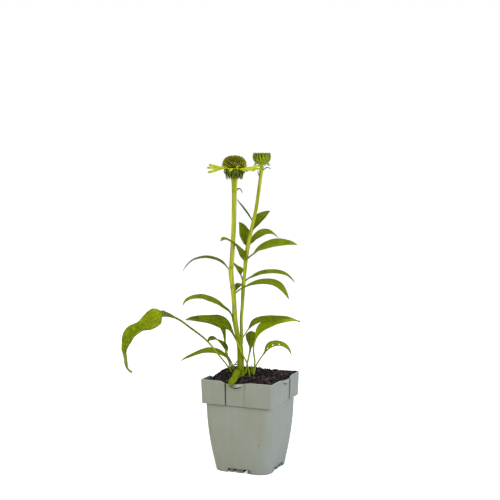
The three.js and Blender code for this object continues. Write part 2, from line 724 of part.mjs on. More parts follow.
/** A turned body from its outline of [radius, height], which starts and ends on the axis. */
function turned(outline, sides = 20) {
  const geometry = new THREE.LatheGeometry(outline.map(([r, z]) => new THREE.Vector2(r, z)), sides);
  return toSolid(geometry.rotateX(Math.PI / 2));
}

function buildInvolucre() {
  const { receptacleRadius: wide, receptacleHeight: high } = FLOWER;
  const receptacle = turned([
    [0, GAP],
    [3.6, GAP],
    [5.2, high * 0.45],
    [wide - 2.4, high * 0.8],
    [wide, high - 0.6],
    [wide - 0.6, high],
    [0, high],
  ]);
  const random = seeded(11);
  const bracts = FLOWER.bractRows.flatMap((row, i) => bractRow(row, random, i / 2));
  return joined([receptacle, ...bracts]);
}

const RAY_LEVEL = FLOWER.receptacleHeight + GAP;

/** The strap-shaped rays in one whorl, joined by the thin collar that they root in. */
function buildRays() {
  const { collarInner: inner, collarOuter: outer, collarHeight: thick } = FLOWER;
  const collar = turned([
    [inner, RAY_LEVEL],
    [outer, RAY_LEVEL],
    [outer, RAY_LEVEL + thick],
    [inner, RAY_LEVEL + thick],
    [inner, RAY_LEVEL],
  ]);
  const random = seeded(29);
  const rays = [];
  for (let i = 0; i < FLOWER.rays; i++) {
    const heading = (360 / FLOWER.rays) * i + 6 * (random() - 0.5);
    const length = FLOWER.rayLength * (0.93 + 0.12 * random());
    const rise = 9 * (random() - 0.45);
    const sag = random();
    const ray = {
      heading, width: FLOWER.rayWidth, stalk: 0, fold: -10, roll: 24 * (random() - 0.5), across: 3, steps: 5,
      base: 2.6, outline: [0.16, 0.12], notch: 1.2, ribDepth: 0,
      rib: [[0, 0], [length * 0.35, rise * 0.25 + 0.4], [length * 0.7, rise * 0.7 + 0.6], [length, rise - sag]],
    };
    const angle = radians(heading);
    const root = new THREE.Vector3(Math.cos(angle), Math.sin(angle), 0).multiplyScalar(FLOWER.rayRoot);
    rays.push(bladeSolid(ray, root.setZ(RAY_LEVEL + thick / 2 + 0.1)));
  }
  return joined([collar, ...rays]);
}

/** A three-sided spine from a foot point, along a direction. */
function spine(foot, direction, radius, length) {
  const geometry = new THREE.ConeGeometry(radius, length, 3);
  geometry.translate(0, length / 2, 0);
  geometry.applyQuaternion(new THREE.Quaternion().setFromUnitVectors(new THREE.Vector3(0, 1, 0), direction));
  geometry.translate(foot.x, foot.y, foot.z);
  return toSolid(geometry);
}

const GOLDEN_ANGLE = Math.PI * (3 - Math.sqrt(5));

/** The cone: a dome that is covered all over by stiff scales set in spirals. */
function buildCone() {
  const { coneRadius: wide, coneRise: high } = FLOWER;
  const foot = RAY_LEVEL + FLOWER.collarHeight + 2 * GAP;
  const waist = foot + 2.6;
  const outline = [[0, foot], [wide * 0.86, foot]];
  for (let degrees = 0; degrees <= 75; degrees += 15) {
    outline.push([wide * Math.cos(radians(degrees)), waist + high * Math.sin(radians(degrees))]);
  }
  outline.push([0, waist + high]);
  const core = turned(outline, 18);
  const spines = [];
  for (let i = 0; i < FLOWER.spines; i++) {
    const share = (i + 0.5) / FLOWER.spines;
    const lift = 1 - 1.04 * share; // 1 on the crown, just below 0 at the waist
    const level = Math.sqrt(1 - lift * lift);
    const angle = i * GOLDEN_ANGLE;
    const [c, s] = [Math.cos(angle), Math.sin(angle)];
    const sunk = 0.84;
    const root = new THREE.Vector3(
      wide * sunk * level * c,
      wide * sunk * level * s,
      waist + high * sunk * Math.max(lift, -0.1),
    );
    const direction = new THREE.Vector3(level * c, level * s, lift + 0.35).normalize();
    spines.push(spine(root, direction, FLOWER.spineRadius, FLOWER.spineLength));
  }
  return joined([core, ...spines]);
}

// ---- The bud ----

function buildBudCup() {
  const core = turned(
    [
      [0, 1.5 * GAP],
      [2, 1.5 * GAP],
      [5.6, 2.4],
      [7.8, 5],
      [8.3, BUD.discFrom - 1],
      [8, BUD.discFrom - GAP],
      [0, BUD.discFrom - GAP],
    ],
    16,
  );
  const random = seeded(47);
  const bracts = BUD.bractRows.flatMap((row, i) => bractRow(row, random, i / 2));
  return joined([core, ...bracts]);
}

/** The bud's flat top of closed florets, packed as the seeds of a sunflower are. */
function buildBudDisc() {
  const { discRadius: wide, discFrom: from, discHeight: high, florets } = BUD;
  const core = turned(
    [
      [0, from],
      [wide - 0.5, from],
      [wide, from + high * 0.5],
      [wide - 0.8, from + high],
      [0, from + high + 0.3],
    ],
    16,
  );
  const points = [];
  for (let i = 0; i < florets; i++) {
    const reach = (wide - 1.1) * Math.sqrt((i + 0.5) / florets);
    const angle = i * GOLDEN_ANGLE;
    const root = new THREE.Vector3(reach * Math.cos(angle), reach * Math.sin(angle), from + high - 1);
    points.push(spine(root, UP, 0.85, 2.4));
  }
  return joined([core, ...points]);
}

/** A head's group, with its foot on the end of a stem, turned round its own axis. */
function headGroup(stem, pieces, turn = 0) {
  const [x, y, z] = stem.at(-1);
  const group = new THREE.Group();
  group.position.set(x, y, z);
  group.rotation.z = radians(turn);
  group.add(...pieces);
  return group;
}

// ---- The plant in its pot ----

const stemClearance = stems(GAP);
const plantedLeaves = CROWN_LEAVES.map(plantedLeaf);
const holes = joined([
  stemClearance,
  ...plantedLeaves.map((leaf) => bladeSolid(leaf, crownFoot(leaf.foot), GAP)),
]);

const coneflower = new THREE.Group();
coneflower.add(
  piece("pot", buildPot(), COLOURS.pot, 0.5),
  piece("soil", buildSoil(holes), COLOURS.soil, 0.95),
  piece("stems", stems(), COLOURS.stem, 0.6),
  ...STEM_LEAVES.map((leaf) => piece(leaf.name, stemLeaf(leaf, stemClearance), COLOURS.leaf, 0.6)),
  ...plantedLeaves.map((leaf) => piece(leaf.name, bladeSolid(leaf, crownFoot(leaf.foot)), COLOURS.leaf, 0.6)),
  headGroup(
    MAIN_STEM,
    [
      piece("flower_involucre", buildInvolucre(), COLOURS.bract, 0.7),
      piece("flower_rays", buildRays(), COLOURS.ray, 0.6),
      piece("flower_cone", buildCone(), COLOURS.cone, 0.6),
    ],
    FLOWER.turn,
  ),
  headGroup(SIDE_STEM, [
    piece("bud_bracts", buildBudCup(), COLOURS.bud, 0.6),
    piece("bud_disc", buildBudDisc(), COLOURS.bud, 0.7),
  ]),
);

export default coneflower;
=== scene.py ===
# %% [markdown]
# # A young coneflower in its nursery pot
#
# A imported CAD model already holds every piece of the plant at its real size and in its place. This
# lesson gives the pieces their looks. Leaves, petals and stems are long tapering skins, so one helper
# makes them all. What is small and repeated, such as scales, hairs and crumbs of soil, is modelled
# once and copied. The pot is moulded with extrusions and cuts, and every surface gets a procedural
# material.

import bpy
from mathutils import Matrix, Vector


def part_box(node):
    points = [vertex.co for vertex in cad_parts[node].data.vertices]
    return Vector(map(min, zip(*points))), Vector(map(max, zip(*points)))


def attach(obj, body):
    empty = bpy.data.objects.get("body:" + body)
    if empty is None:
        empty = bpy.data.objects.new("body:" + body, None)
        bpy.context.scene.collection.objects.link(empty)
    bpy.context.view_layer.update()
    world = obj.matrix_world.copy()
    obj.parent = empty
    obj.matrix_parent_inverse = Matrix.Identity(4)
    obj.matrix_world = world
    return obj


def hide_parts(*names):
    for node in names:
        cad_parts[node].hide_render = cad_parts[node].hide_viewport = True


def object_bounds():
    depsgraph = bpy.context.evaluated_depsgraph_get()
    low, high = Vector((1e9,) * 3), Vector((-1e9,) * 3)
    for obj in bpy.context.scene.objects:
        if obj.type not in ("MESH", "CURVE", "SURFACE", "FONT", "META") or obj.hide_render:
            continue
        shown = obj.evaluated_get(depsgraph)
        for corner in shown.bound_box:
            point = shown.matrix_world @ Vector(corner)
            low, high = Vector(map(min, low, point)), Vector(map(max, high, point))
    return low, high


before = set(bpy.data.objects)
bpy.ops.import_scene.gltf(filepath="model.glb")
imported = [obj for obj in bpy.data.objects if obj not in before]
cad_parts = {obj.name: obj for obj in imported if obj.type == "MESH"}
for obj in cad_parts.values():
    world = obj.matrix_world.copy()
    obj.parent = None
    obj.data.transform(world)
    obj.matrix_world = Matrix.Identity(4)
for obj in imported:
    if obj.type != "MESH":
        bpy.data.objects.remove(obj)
cad_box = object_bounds()
print("CAD box in metres:", [round(v, 4) for corner in cad_box for v in corner])

# %% [markdown]
# Blender works in metres here, and a plant is easier to think of in millimetres, so shapes are worked
# out in millimetres and scaled once, when a mesh is made. Arrays of points come from numpy, which
# shapes a whole leaf at a time.

# %% Units and small helpers
import math
import random

import bpy
import numpy as np
from mathutils import Vector, noise

MM = 0.001
SMALLEST = 1e-6  # points nearer than this, in metres, are one point


def smooth(x, low, high):
    """An even rise from 0 at low to 1 at high."""
    share = np.clip((np.asarray(x, float) - low) / (high - low), 0, 1)
    return share * share * (3 - 2 * share)


def mix(a, b, share):
    return a + (b - a) * share


def bell(x, width):
    """A soft ridge, 1 at 0 and almost nothing beyond twice its width."""
    return np.exp(-((x / width) ** 2))


def unit(vectors):
    return vectors / np.linalg.norm(vectors, axis=-1, keepdims=True)


def ripples(a, b, seed):
    """A calm random surface from a few crossing waves, between about -1 and 1."""
    draw = random.Random(seed)
    total = 0
    for octave in range(6):
        turn = draw.uniform(0, math.tau)
        pace = 1 + 0.45 * octave
        crossing = a * math.cos(turn) + b * math.sin(turn)
        total = total + np.sin(pace * crossing + draw.uniform(0, math.tau)) / pace
    return total / 2


def only(*pieces):
    """Selects these pieces and nothing else."""
    bpy.ops.object.select_all(action="DESELECT")
    for piece in pieces:
        piece.select_set(True)
    bpy.context.view_layer.objects.active = pieces[0]


def remove(piece):
    only(piece)
    bpy.ops.object.delete()


def join(name, pieces):
    only(*pieces)
    if len(pieces) > 1:
        bpy.ops.object.join()
    pieces[0].name = name
    return pieces[0]


def modify(piece, kind, **settings):
    """Adds a modifier and applies it at once."""
    only(piece)
    modifier = piece.modifiers.new(kind.title(), kind)
    for key, value in settings.items():
        setattr(modifier, key, value)
    bpy.ops.object.modifier_apply(modifier=modifier.name)


def triangles(piece):
    return sum(len(face.vertices) - 2 for face in piece.data.polygons)


# %% [markdown]
# ## One skin for stems, leaves and petals
#
# A leaf is a closed tube that was pressed flat: an upper face, a lower face and two thin edges. A
# stem is the same tube left round. So a flat grid is added, its rows are laid on the sections of the
# shape, and merging doubled points then closes the seam along it and the two ends, which come
# together in a point or an edge. Facts that a material needs, such as how far a point is from the
# midrib, are stored on the points as attributes.


# %% The skin helper
def note(mesh, key, values):
    """Stores three numbers on every point, for a material to read."""
    attribute = mesh.attributes.new(key, "FLOAT_VECTOR", "POINT")
    attribute.data.foreach_set("vector", np.asarray(values).astype(np.float32).ravel())


def skin(name, points, facts=None):
    """A closed skin over points, an array of rows x around x 3 in millimetres."""
    rows, around = points.shape[:2]
    bpy.ops.object.select_all(action="DESELECT")
    bpy.ops.mesh.primitive_grid_add(x_subdivisions=around, y_subdivisions=rows - 1, size=1)
    piece = bpy.context.active_object
    piece.name = name

    def seamed(values):
        return np.concatenate([values, values[:, :1]], axis=1).astype(np.float32).ravel()

    piece.data.vertices.foreach_set("co", seamed(points * MM))
    for key, values in (facts or {}).items():
        note(piece.data, key, seamed(values))
    bpy.ops.object.mode_set(mode="EDIT")
    bpy.ops.mesh.select_all(action="SELECT")
    bpy.ops.mesh.remove_doubles(threshold=SMALLEST)
    bpy.ops.mesh.normals_make_consistent(inside=False)
    bpy.ops.object.mode_set(mode="OBJECT")
    return piece


def soften(piece, degrees=50):
    """Smooth shading that keeps edges sharper than this."""
    only(piece)
    bpy.ops.object.shade_smooth_by_angle(angle=math.radians(degrees))


def finish(piece, material, slot, *nodes, degrees=50):
    """Gives a piece its finish, and puts it in the place of its CAD nodes."""
    soften(piece, degrees)
    piece.data.materials.clear()
    piece.data.materials.append(material)
    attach(piece, "root")
    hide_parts(*nodes)
    low = [min((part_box(node)[0][k] for node in nodes), default=cad_box[0][k]) for k in range(3)]
    high = [max((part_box(node)[1][k] for node in nodes), default=cad_box[1][k]) for k in range(3)]
    corners = np.array([v.co for v in piece.data.vertices])
    proud = max(np.max(low - corners.min(0)), np.max(corners.max(0) - high)) / MM
    print(f"{piece.name}: {triangles(piece)} triangles, {proud:.1f} mm outside its solid's box")
    return piece


# %% [markdown]
# ## Smooth lines
#
# A midrib or a stem follows a few listed points. A centripetal
# Catmull-Rom curve goes through all of them without overshooting, and is then read at even steps
# of its length.


# %% Lines through points
def line(points, shares):
    """Places and directions at shares of the length of a smooth line through points."""
    points = np.array(points, float)
    ends = np.vstack([2 * points[0] - points[1], points, 2 * points[-1] - points[-2]])
    steps = np.linspace(0, 1, 24, endpoint=False)[:, None]
    dense = []
    for a, b, c, d in zip(ends, ends[1:], ends[2:], ends[3:]):
        before, here, after = (np.linalg.norm(q - p) ** 0.5 for p, q in ((a, b), (b, c), (c, d)))
        leave = ((b - a) / before - (c - a) / (before + here) + (c - b) / here) * here
        arrive = ((c - b) / here - (d - b) / (here + after) + (d - c) / after) * here
        cubic = 2 * b - 2 * c + leave + arrive
        square = -3 * b + 3 * c - 2 * leave - arrive
        dense.append(b + steps * (leave + steps * (square + steps * cubic)))
    dense = np.vstack(dense + [points[-1:]])
    length = np.concatenate([[0], np.cumsum(np.linalg.norm(np.diff(dense, axis=0), axis=1))])
    at = np.asarray(shares) * length[-1]
    place = np.stack([np.interp(at, length, dense[:, k]) for k in range(3)], axis=1)
    ahead = unit(np.gradient(dense, axis=0))
    direction = np.stack([np.interp(at, length, ahead[:, k]) for k in range(3)], axis=1)
    return place, unit(direction), length[-1]


# %% [markdown]
# ## Materials
#
# Every finish is a Principled shader with a little tree of nodes behind it. A small class keeps the
# trees short to write: it adds a node, sets or wires its sockets, and hands back the output. Colours
# are given as a paint card would give them, from 0 to 255, and turned into the linear values that the
# renderer adds up.


# %% A short way to write materials
def rgb(red, green, blue):
    """A colour from 0 to 255 as the linear colour that the shader wants."""
    def linear(value):
        value /= 255
        return value / 12.92 if value <= 0.04045 else ((value + 0.055) / 1.055) ** 2.4

    return (linear(red), linear(green), linear(blue), 1.0)


class Finish:
    """A material under construction."""

    def __init__(self, name, **sockets):
        self.material = bpy.data.materials.new(name)
        self.material.use_nodes = True
        self.tree = self.material.node_tree
        self.shader = self.tree.nodes["Principled BSDF"]
        for key, value in sockets.items():
            self.shader.inputs[key.replace("_", " ")].default_value = value

    def wire(self, socket, value):
        if isinstance(value, bpy.types.NodeSocket):
            self.tree.links.new(value, socket)
        else:
            socket.default_value = value

    def node(self, kind, inputs, output=0, **settings):
        made = self.tree.nodes.new("ShaderNode" + kind)
        for key, value in settings.items():
            setattr(made, key, value)
        for key, value in inputs.items():
            self.wire(made.inputs[key], value)
        return made.outputs[output]

    def place(self, scale=(1, 1, 1)):
        """Object coordinates, stretched by scale."""
        here = self.node("TexCoord", {}, output="Object")
        return self.node("Mapping", {"Vector": here, "Scale": scale})

    def away_from(self, spot):
        """The distance from a spot, in metres."""
        return self.node("VectorMath", {0: self.place(), 1: spot}, output="Value", operation="DISTANCE")

    def split(self, vector):
        """The three numbers of a vector, each as an output."""
        made = self.tree.nodes.new("ShaderNodeSeparateXYZ")
        self.wire(made.inputs[0], vector)
        return list(made.outputs)

    def fact(self, name):
        """The three numbers of a point attribute, each as an output."""
        return self.split(self.node("Attribute", {}, output="Vector", attribute_name=name))

    def noise(self, scale, detail=3, rough=0.5, vector=None):
        inputs = {"Vector": vector or self.place(), "Scale": scale, "Detail": detail, "Roughness": rough}
        return self.node("TexNoise", inputs)

    def cells(self, scale, vector=None, feature="DISTANCE_TO_EDGE"):
        inputs = {"Vector": vector or self.place(), "Scale": scale}
        return self.node("TexVoronoi", inputs, feature=feature)

    def math(self, operation, a, b=0.0, clamp=False):
        return self.node("Math", {0: a, 1: b}, operation=operation, use_clamp=clamp)

    def span(self, value, low, high, to_low=0.0, to_high=1.0):
        """A value from low to high as one from to_low to to_high, with soft ends."""
        inputs = {"Value": value, "From Min": low, "From Max": high, "To Min": to_low, "To Max": to_high}
        return self.node("MapRange", inputs, interpolation_type="SMOOTHSTEP")

    def blend(self, share, a, b, kind="MIX"):
        return self.node("Mix", {0: share, 6: a, 7: b}, output=2, data_type="RGBA", blend_type=kind)

    def finished(self, colour, roughness=None, height=None, depth=0.0001, strength=0.6):
        """Wires the colour, the roughness and a bump, and gives the material back."""
        self.wire(self.shader.inputs["Base Color"], colour)
        if roughness is not None:
            self.wire(self.shader.inputs["Roughness"], roughness)
        if height is not None:
            bump = self.node("Bump", {"Height": height, "Distance": depth, "Strength": strength})
            self.wire(self.shader.inputs["Normal"], bump)
        return self.material


# %% [markdown]
# ### Leaf green
#
# A coneflower's leaf is a strong yellow-green, blotched between the veins and a little paler along the
# midrib. Some leaves are deeper than others, partly in their own green and partly as painted light and
# shade: a leaf that faces the lamps is set lighter, one in shade darker. The underside is greyer and the
# stalk yellower. The point attributes say where on the leaf we are: `leaf` holds the distance along and
# across in millimetres and the share of the blade, `face` the share of the way to the edge, whether this
# is the upper face and how dry the tissue is, and `look` the leaf's tone, which carries that painted
# light and shade as well as its own green, how blistered it is and how pale its stalk is. A leaf is
# matt, so it mirrors very little: a strong gloss would wash the green out.


# %% Leaf material
VEIN_SLANT = 1.3  # how far the side veins run forward for each step towards the edge
NERVE_AT = 0.46  # where a long nerve runs beside the midrib, as a share of the half width


def leaf_finish(name, bright, deep, stalk, under):
    leaf = Finish(name, Roughness=0.5, Specular_IOR_Level=0.07)
    along, across, blade = leaf.fact("leaf")
    edge, upper, dry = leaf.fact("face")
    tone, blister, pale_stalk = leaf.fact("look")
    aside = leaf.math("ABSOLUTE", across)
    midrib = leaf.span(aside, 0.2, 0.7, 1.0, 0.0)
    from_nerve = leaf.math("ABSOLUTE", leaf.math("SUBTRACT", edge, NERVE_AT))
    nerve = leaf.span(from_nerve, 0.015, 0.06, 0.45, 0.0)
    slant = leaf.math("SUBTRACT", along, leaf.math("MULTIPLY", aside, VEIN_SLANT))
    turn = leaf.math("PINGPONG", leaf.math("ADD", slant, leaf.noise(90)), 2.4)
    veinlet = leaf.span(turn, 0.06, 0.4, 0.4, 0.0)
    net = leaf.span(leaf.cells(620), 0.0, 0.12, 0.22, 0.0)
    vein = leaf.math("MAXIMUM", leaf.math("MAXIMUM", midrib, nerve), leaf.math("MAXIMUM", veinlet, net))
    broad = leaf.math("MULTIPLY", leaf.math("SUBTRACT", leaf.noise(110, 4, 0.6), 0.5), 0.8)
    close = leaf.math("MULTIPLY", leaf.math("SUBTRACT", leaf.noise(420, 2), 0.5), 0.6)
    mottle = leaf.math("ADD", broad, close)
    mottle = leaf.math("MULTIPLY", mottle, leaf.math("ADD", leaf.math("MULTIPLY", blister, 0.5), 1.0))
    # The tone carries painted light and shade: leaves that face the lamps have lighter tones, shaded ones
    # darker
    shade = leaf.math("ADD", tone, mottle, clamp=True)
    colour = leaf.blend(shade, deep, bright)
    colour = leaf.blend(leaf.math("MULTIPLY", vein, 0.16), colour, stalk)
    colour = leaf.blend(leaf.math("MULTIPLY", midrib, 0.22), colour, stalk)
    lower = leaf.blend(shade, rgb(78, 92, 40), under)
    colour = leaf.blend(leaf.span(upper, 0.4, 0.6, 0.7, 0.0), colour, lower)
    colour = leaf.blend(leaf.span(edge, 0.84, 1.0, 0.0, 0.5), colour, deep)
    bare = leaf.math("MULTIPLY", pale_stalk, leaf.span(blade, 0.0, 0.06, 1.0, 0.0))
    colour = leaf.blend(bare, colour, stalk)
    here_and_there = leaf.math("MULTIPLY", blister, leaf.span(leaf.noise(70, 2), 0.5, 0.56))
    dots = leaf.span(leaf.cells(300, feature="F1"), 0.12, 0.34, 0.6, 0.0)
    colour = leaf.blend(leaf.math("MULTIPLY", here_and_there, dots), colour, rgb(178, 190, 66))
    brown = leaf.blend(leaf.span(leaf.noise(700, 4), 0.35, 0.65), rgb(122, 124, 44), rgb(62, 64, 12))
    patchy = leaf.math("ADD", dry, leaf.math("MULTIPLY", leaf.math("SUBTRACT", leaf.noise(260, 4), 0.5), 0.8))
    withered = leaf.math("MULTIPLY", patchy, leaf.span(dry, 0.05, 0.3))
    colour = leaf.blend(leaf.span(withered, 0.35, 0.6), colour, brown)
    roughness = leaf.span(leaf.noise(500), 0.3, 0.7, 0.42, 0.6)
    height = leaf.math("SUBTRACT", leaf.noise(900, 4), leaf.math("MULTIPLY", vein, 0.9))
    return leaf.finished(colour, roughness, height, depth=0.00012, strength=0.7)


LEAF = leaf_finish(
    "leaf green", bright=rgb(147, 162, 0), deep=rgb(60, 76, 0), stalk=rgb(162, 170, 30),
    under=rgb(164, 178, 84),
)
print("made", LEAF.name)

# %% [markdown]
# ## Leaves
#
# Each leaf is drawn by a few numbers, as a botanist would describe it: where it springs from, its
# heading round the plant, its midrib as points out and up from there, its greatest width, how much
# of it is bare stalk, how it is folded and rolled, and how its edges wave. Leaves with an outline of
# their own also list how wide their left and right halves are along them. The section is a shallow
# V on the blade and a channelled half round on the stalk. On the upper face the veins are sunk and
# the tissue between them swells, and underneath the midrib stands out. From the share called
# `rolled` on, both faces look like the underside, and `lower` says how green the underside is: at 1
# it looks like the upper face.

# %% Leaf outline and section
PLUMP_STALK = 1.25  # half the width of a stalk that is as thick as its section is drawn
BLADE_HALF_THICKNESS = 0.26
EDGE_HALF_THICKNESS = 0.1
ROW_STEP = 1.1
COLUMNS = 17
VEIN_STEP = 4.8
EDGE_SCALE = 100  # brings shares of the length to the size of millimetres
EDGE_POINTS = 120
BLADE = {
    "base": 3, "stalk": 0, "stalk_half": 0.85, "fold": 0, "roll": 0, "twist": (0, 1, 0), "wave": 0,
    "waves": 1, "outline": (0.75, 0.85), "swell": 0.18, "rib_depth": 0.75, "pleat": 0, "seed": 0,
    "tone": 0.5, "blister": 0, "pale_stalk": 0.25, "rolled": 2, "lower": 0.0,
}


def half_widths(leaf, t):
    """The widths of the left and right halves along a leaf, from its sheathing base to its tip."""
    stalk = min(leaf["stalk_half"], leaf["width"] / 2)
    bare = mix(leaf["base"] / 2, stalk, smooth(t, 0, 0.12))
    x = np.clip((t - leaf["stalk"]) / (1 - leaf["stalk"]), 0, 1)
    rise, fall = leaf["outline"]
    peak = rise / (rise + fall)
    shape = x**rise * (1 - x) ** fall / (peak**rise * (1 - peak) ** fall)
    blade = np.maximum(leaf["width"] / 2 * shape, mix(bare, 0.4, smooth(x, 0, 1)))
    even = np.where(t <= leaf["stalk"], bare, blade) * (1 - 0.7 * smooth(t, 0.975, 1))
    if "edges" not in leaf:
        return even, even
    edges = [(share * EDGE_SCALE, left, right) for share, left, right in leaf["edges"]]
    drawn, _, _ = line(edges, np.linspace(0, 1, EDGE_POINTS))
    start = leaf["edges"][0][0]
    sides = [np.interp(t, drawn[:, 0] / EDGE_SCALE, drawn[:, k]) for k in (1, 2)]
    return tuple(np.where(t < start, bare, np.maximum(side, 0.2)) for side in sides)


def blade_frame(leaf, foot, t):
    """The midrib's places, the way to the leaf's left and the way out of its upper face."""
    heading = math.radians(leaf["heading"])
    out = np.array([math.cos(heading), math.sin(heading), 0])
    left = np.array([-out[1], out[0], 0])
    rib = []
    for reach, rise, *sideways in leaf["rib"]:
        rib.append(np.array(foot) + reach * out + sum(sideways) * left + [0, 0, rise])
    centre, ahead, length = line(rib, t)
    level = unit(left - ahead * (ahead @ left)[:, None])
    start, end, twist = leaf["twist"]
    roll = (np.radians(leaf["roll"]) * smooth(t, 0, 0.5) + np.radians(twist) * smooth(t, start, end))[:, None]
    side = level * np.cos(roll) + np.cross(ahead, level) * np.sin(roll)
    return centre, ahead, side, np.cross(ahead, side), length


def relief(leaf, along, aside, edge, x):
    """How far the upper face swells between the sunken veins, in millimetres."""
    ripple = np.abs(np.sin(np.pi * (along - VEIN_SLANT * aside) / VEIN_STEP)) ** 0.7
    pillow = leaf["swell"] * ripple * smooth(edge, 0.02, 0.3) * (1 - smooth(edge, 0.75, 1))
    nerve = 0.14 * bell(edge - NERVE_AT, 0.07) * (leaf["swell"] > 0)
    valley = 0.3 * bell(aside, 0.8) * (leaf["swell"] > 0.1)
    lumps = leaf["swell"] * 0.8 * ripples(along / 2.6, aside / 2.2, leaf["seed"]) * (1 - edge)
    pleats = leaf["pleat"] * bell(edge - 0.4, 0.14)
    return (pillow - nerve - valley + lumps) * smooth(x, 0.0, 0.2) * (1 - smooth(x, 0.85, 1)) - pleats


def blade_points(leaf, foot):
    """The skin of one blade and its stalk, and the facts that its material reads."""
    leaf = {**BLADE, **leaf}
    rows = leaf.get("rows") or max(24, int(blade_frame(leaf, foot, np.linspace(0, 1, 3))[-1] / ROW_STEP))
    t = np.linspace(0, 1, rows)
    centre, ahead, side, normal, length = blade_frame(leaf, foot, t)
    u = np.linspace(1, -1, leaf.get("columns", COLUMNS))
    u = np.sign(u) * np.abs(u) ** 1.2
    size = np.abs(u)[None, :]
    x = np.clip((t - leaf["stalk"]) / (1 - leaf["stalk"]), 0, 1)[:, None]
    left, right = half_widths(leaf, t)
    half = np.where(u[None, :] > 0, left[:, None], right[:, None])
    uneven = 0.025 * ripples(t * length / 3.1, leaf["seed"], leaf["seed"] + 7)[:, None]
    half = half * (1 + uneven * smooth(x, 0, 0.2))
    flat = smooth(x, 0, 0.18) if leaf["stalk"] else np.ones_like(x)
    fold = math.radians(leaf["fold"])
    phase = 2 * math.pi * leaf["waves"] * x + np.where(u > 0, 0, 2)[None, :]
    wave = leaf["wave"] * np.sin(phase) * size**2 * np.minimum(1, 4 * x * (1 - x) + 0.1) * (x > 0)
    lift = (np.sqrt(size**2 + 0.012) - 0.11) * half * math.sin(fold) * flat + wave
    lateral = u[None, :] * half * np.cos(fold * flat)
    along = np.broadcast_to((t * length)[:, None], lateral.shape)
    aside, edge = np.abs(lateral), np.broadcast_to(size, lateral.shape)
    round_ = np.sqrt(1 - size**2)
    ends = np.minimum(smooth(t, 0, 1.2 / length), 1 - smooth(t, 1 - 1.2 / length, 1))[:, None]
    thin = mix(EDGE_HALF_THICKNESS, BLADE_HALF_THICKNESS, round_)
    plump = min(1, leaf["stalk_half"] / PLUMP_STALK)
    above = mix(plump * (0.3 + 0.35 * round_), thin, flat) * ends + relief(leaf, along, aside, edge, x) * flat
    rib = leaf["rib_depth"] * (1 - x) ** 0.8 * bell(aside, 0.8)
    bulge = thin + rib - 0.7 * relief(leaf, along, aside, edge, x)
    below = mix(plump * (0.35 + 0.85 * round_), bulge, flat) * ends
    spine = centre[:, None, :] + side[:, None, :] * lateral[..., None]
    if leaf.get("notch"):
        pulled = leaf["notch"](u)[None, :] * smooth(t, 0.8, 1)[:, None]
        spine = spine - ahead[:, None, :] * pulled[..., None]
    over = spine + normal[:, None, :] * (lift + above)[..., None]
    under = spine + normal[:, None, :] * (lift - below)[..., None]
    points = np.concatenate([over, under[:, ::-1]], axis=1)
    dry = leaf["dry"](t[:, None], x, u[None, :]) if leaf.get("dry") else np.zeros_like(lateral)

    def both(values, lower=None):
        lower = values if lower is None else lower
        values, lower = (np.broadcast_to(side_values, edge.shape) for side_values in (values, lower))
        return np.concatenate([values, lower[:, ::-1]], axis=1)

    upper = 1.0 * (t[:, None] < leaf["rolled"])
    facts = {
        "leaf": np.stack([both(along), both(lateral), both(x)], axis=-1),
        "face": np.stack([both(edge), both(upper, leaf["lower"]), both(dry, dry * (x > 0))], axis=-1),
        "look": np.stack([both(leaf["tone"]), both(leaf["blister"]), both(leaf["pale_stalk"])], axis=-1),
    }
    return points, facts


# %% [markdown]
# The stems come first in the list of sizes, because leaves spring from them. A stem is a line of
# points with a radius at each, a little swollen where leaves join. Two stems grew as one: the side
# stem leaves the main one low down.

# %% Where the stems run, in millimetres: x, y, height and radius
MAIN_STEM = [
    (-10.9, -4.5, 100, 4.2), (-10.9, -4.5, 109, 4.7), (-11.3, -4.7, 118, 4.4), (-11.3, -4.7, 131, 4.1),
    (-12, -5, 145, 3.7), (-14.6, -6, 158, 3.1), (-17.2, -7.1, 176, 3.2), (-18.1, -7.5, 194, 2.8),
    (-18.9, -7.8, 207, 3), (-20.4, -8.4, 220, 2.9), (-21.6, -8.9, 234, 3.2), (-20.9, -8.6, 243, 2.8),
    (-20, -8.3, 258, 2.8), (-18.5, -7.7, 289, 2.8), (-17.9, -7.4, 325, 2.9), (-17.8, -7.3, 337, 3.4),
    (-17.8, -7.3, 343.6, 4),
]
SIDE_STEM = [
    (-11.6, -4.6, 136, 2), (-11.4, -0.9, 155, 2.1), (-12.4, 0.3, 175, 2), (-11.2, 0.8, 193, 2),
    (-9.8, 1.4, 220, 2.5), (-8.6, 1.9, 231, 2), (-7.5, 2.3, 246, 2.6), (-5, 3.4, 264, 2.6),
    (-2, 4.5, 279, 2.2), (0.8, 5.8, 293, 2.2), (3.4, 6.8, 305, 2.1), (8.2, 8.8, 341, 2.1),
    (10, 9.6, 358.4, 2.5),
]


def on_stem(stem, height):
    """The point of a stem's middle line at a height."""
    x, y, z, _ = np.array(stem, float).T
    return np.array([np.interp(height, z, x), np.interp(height, z, y), height])
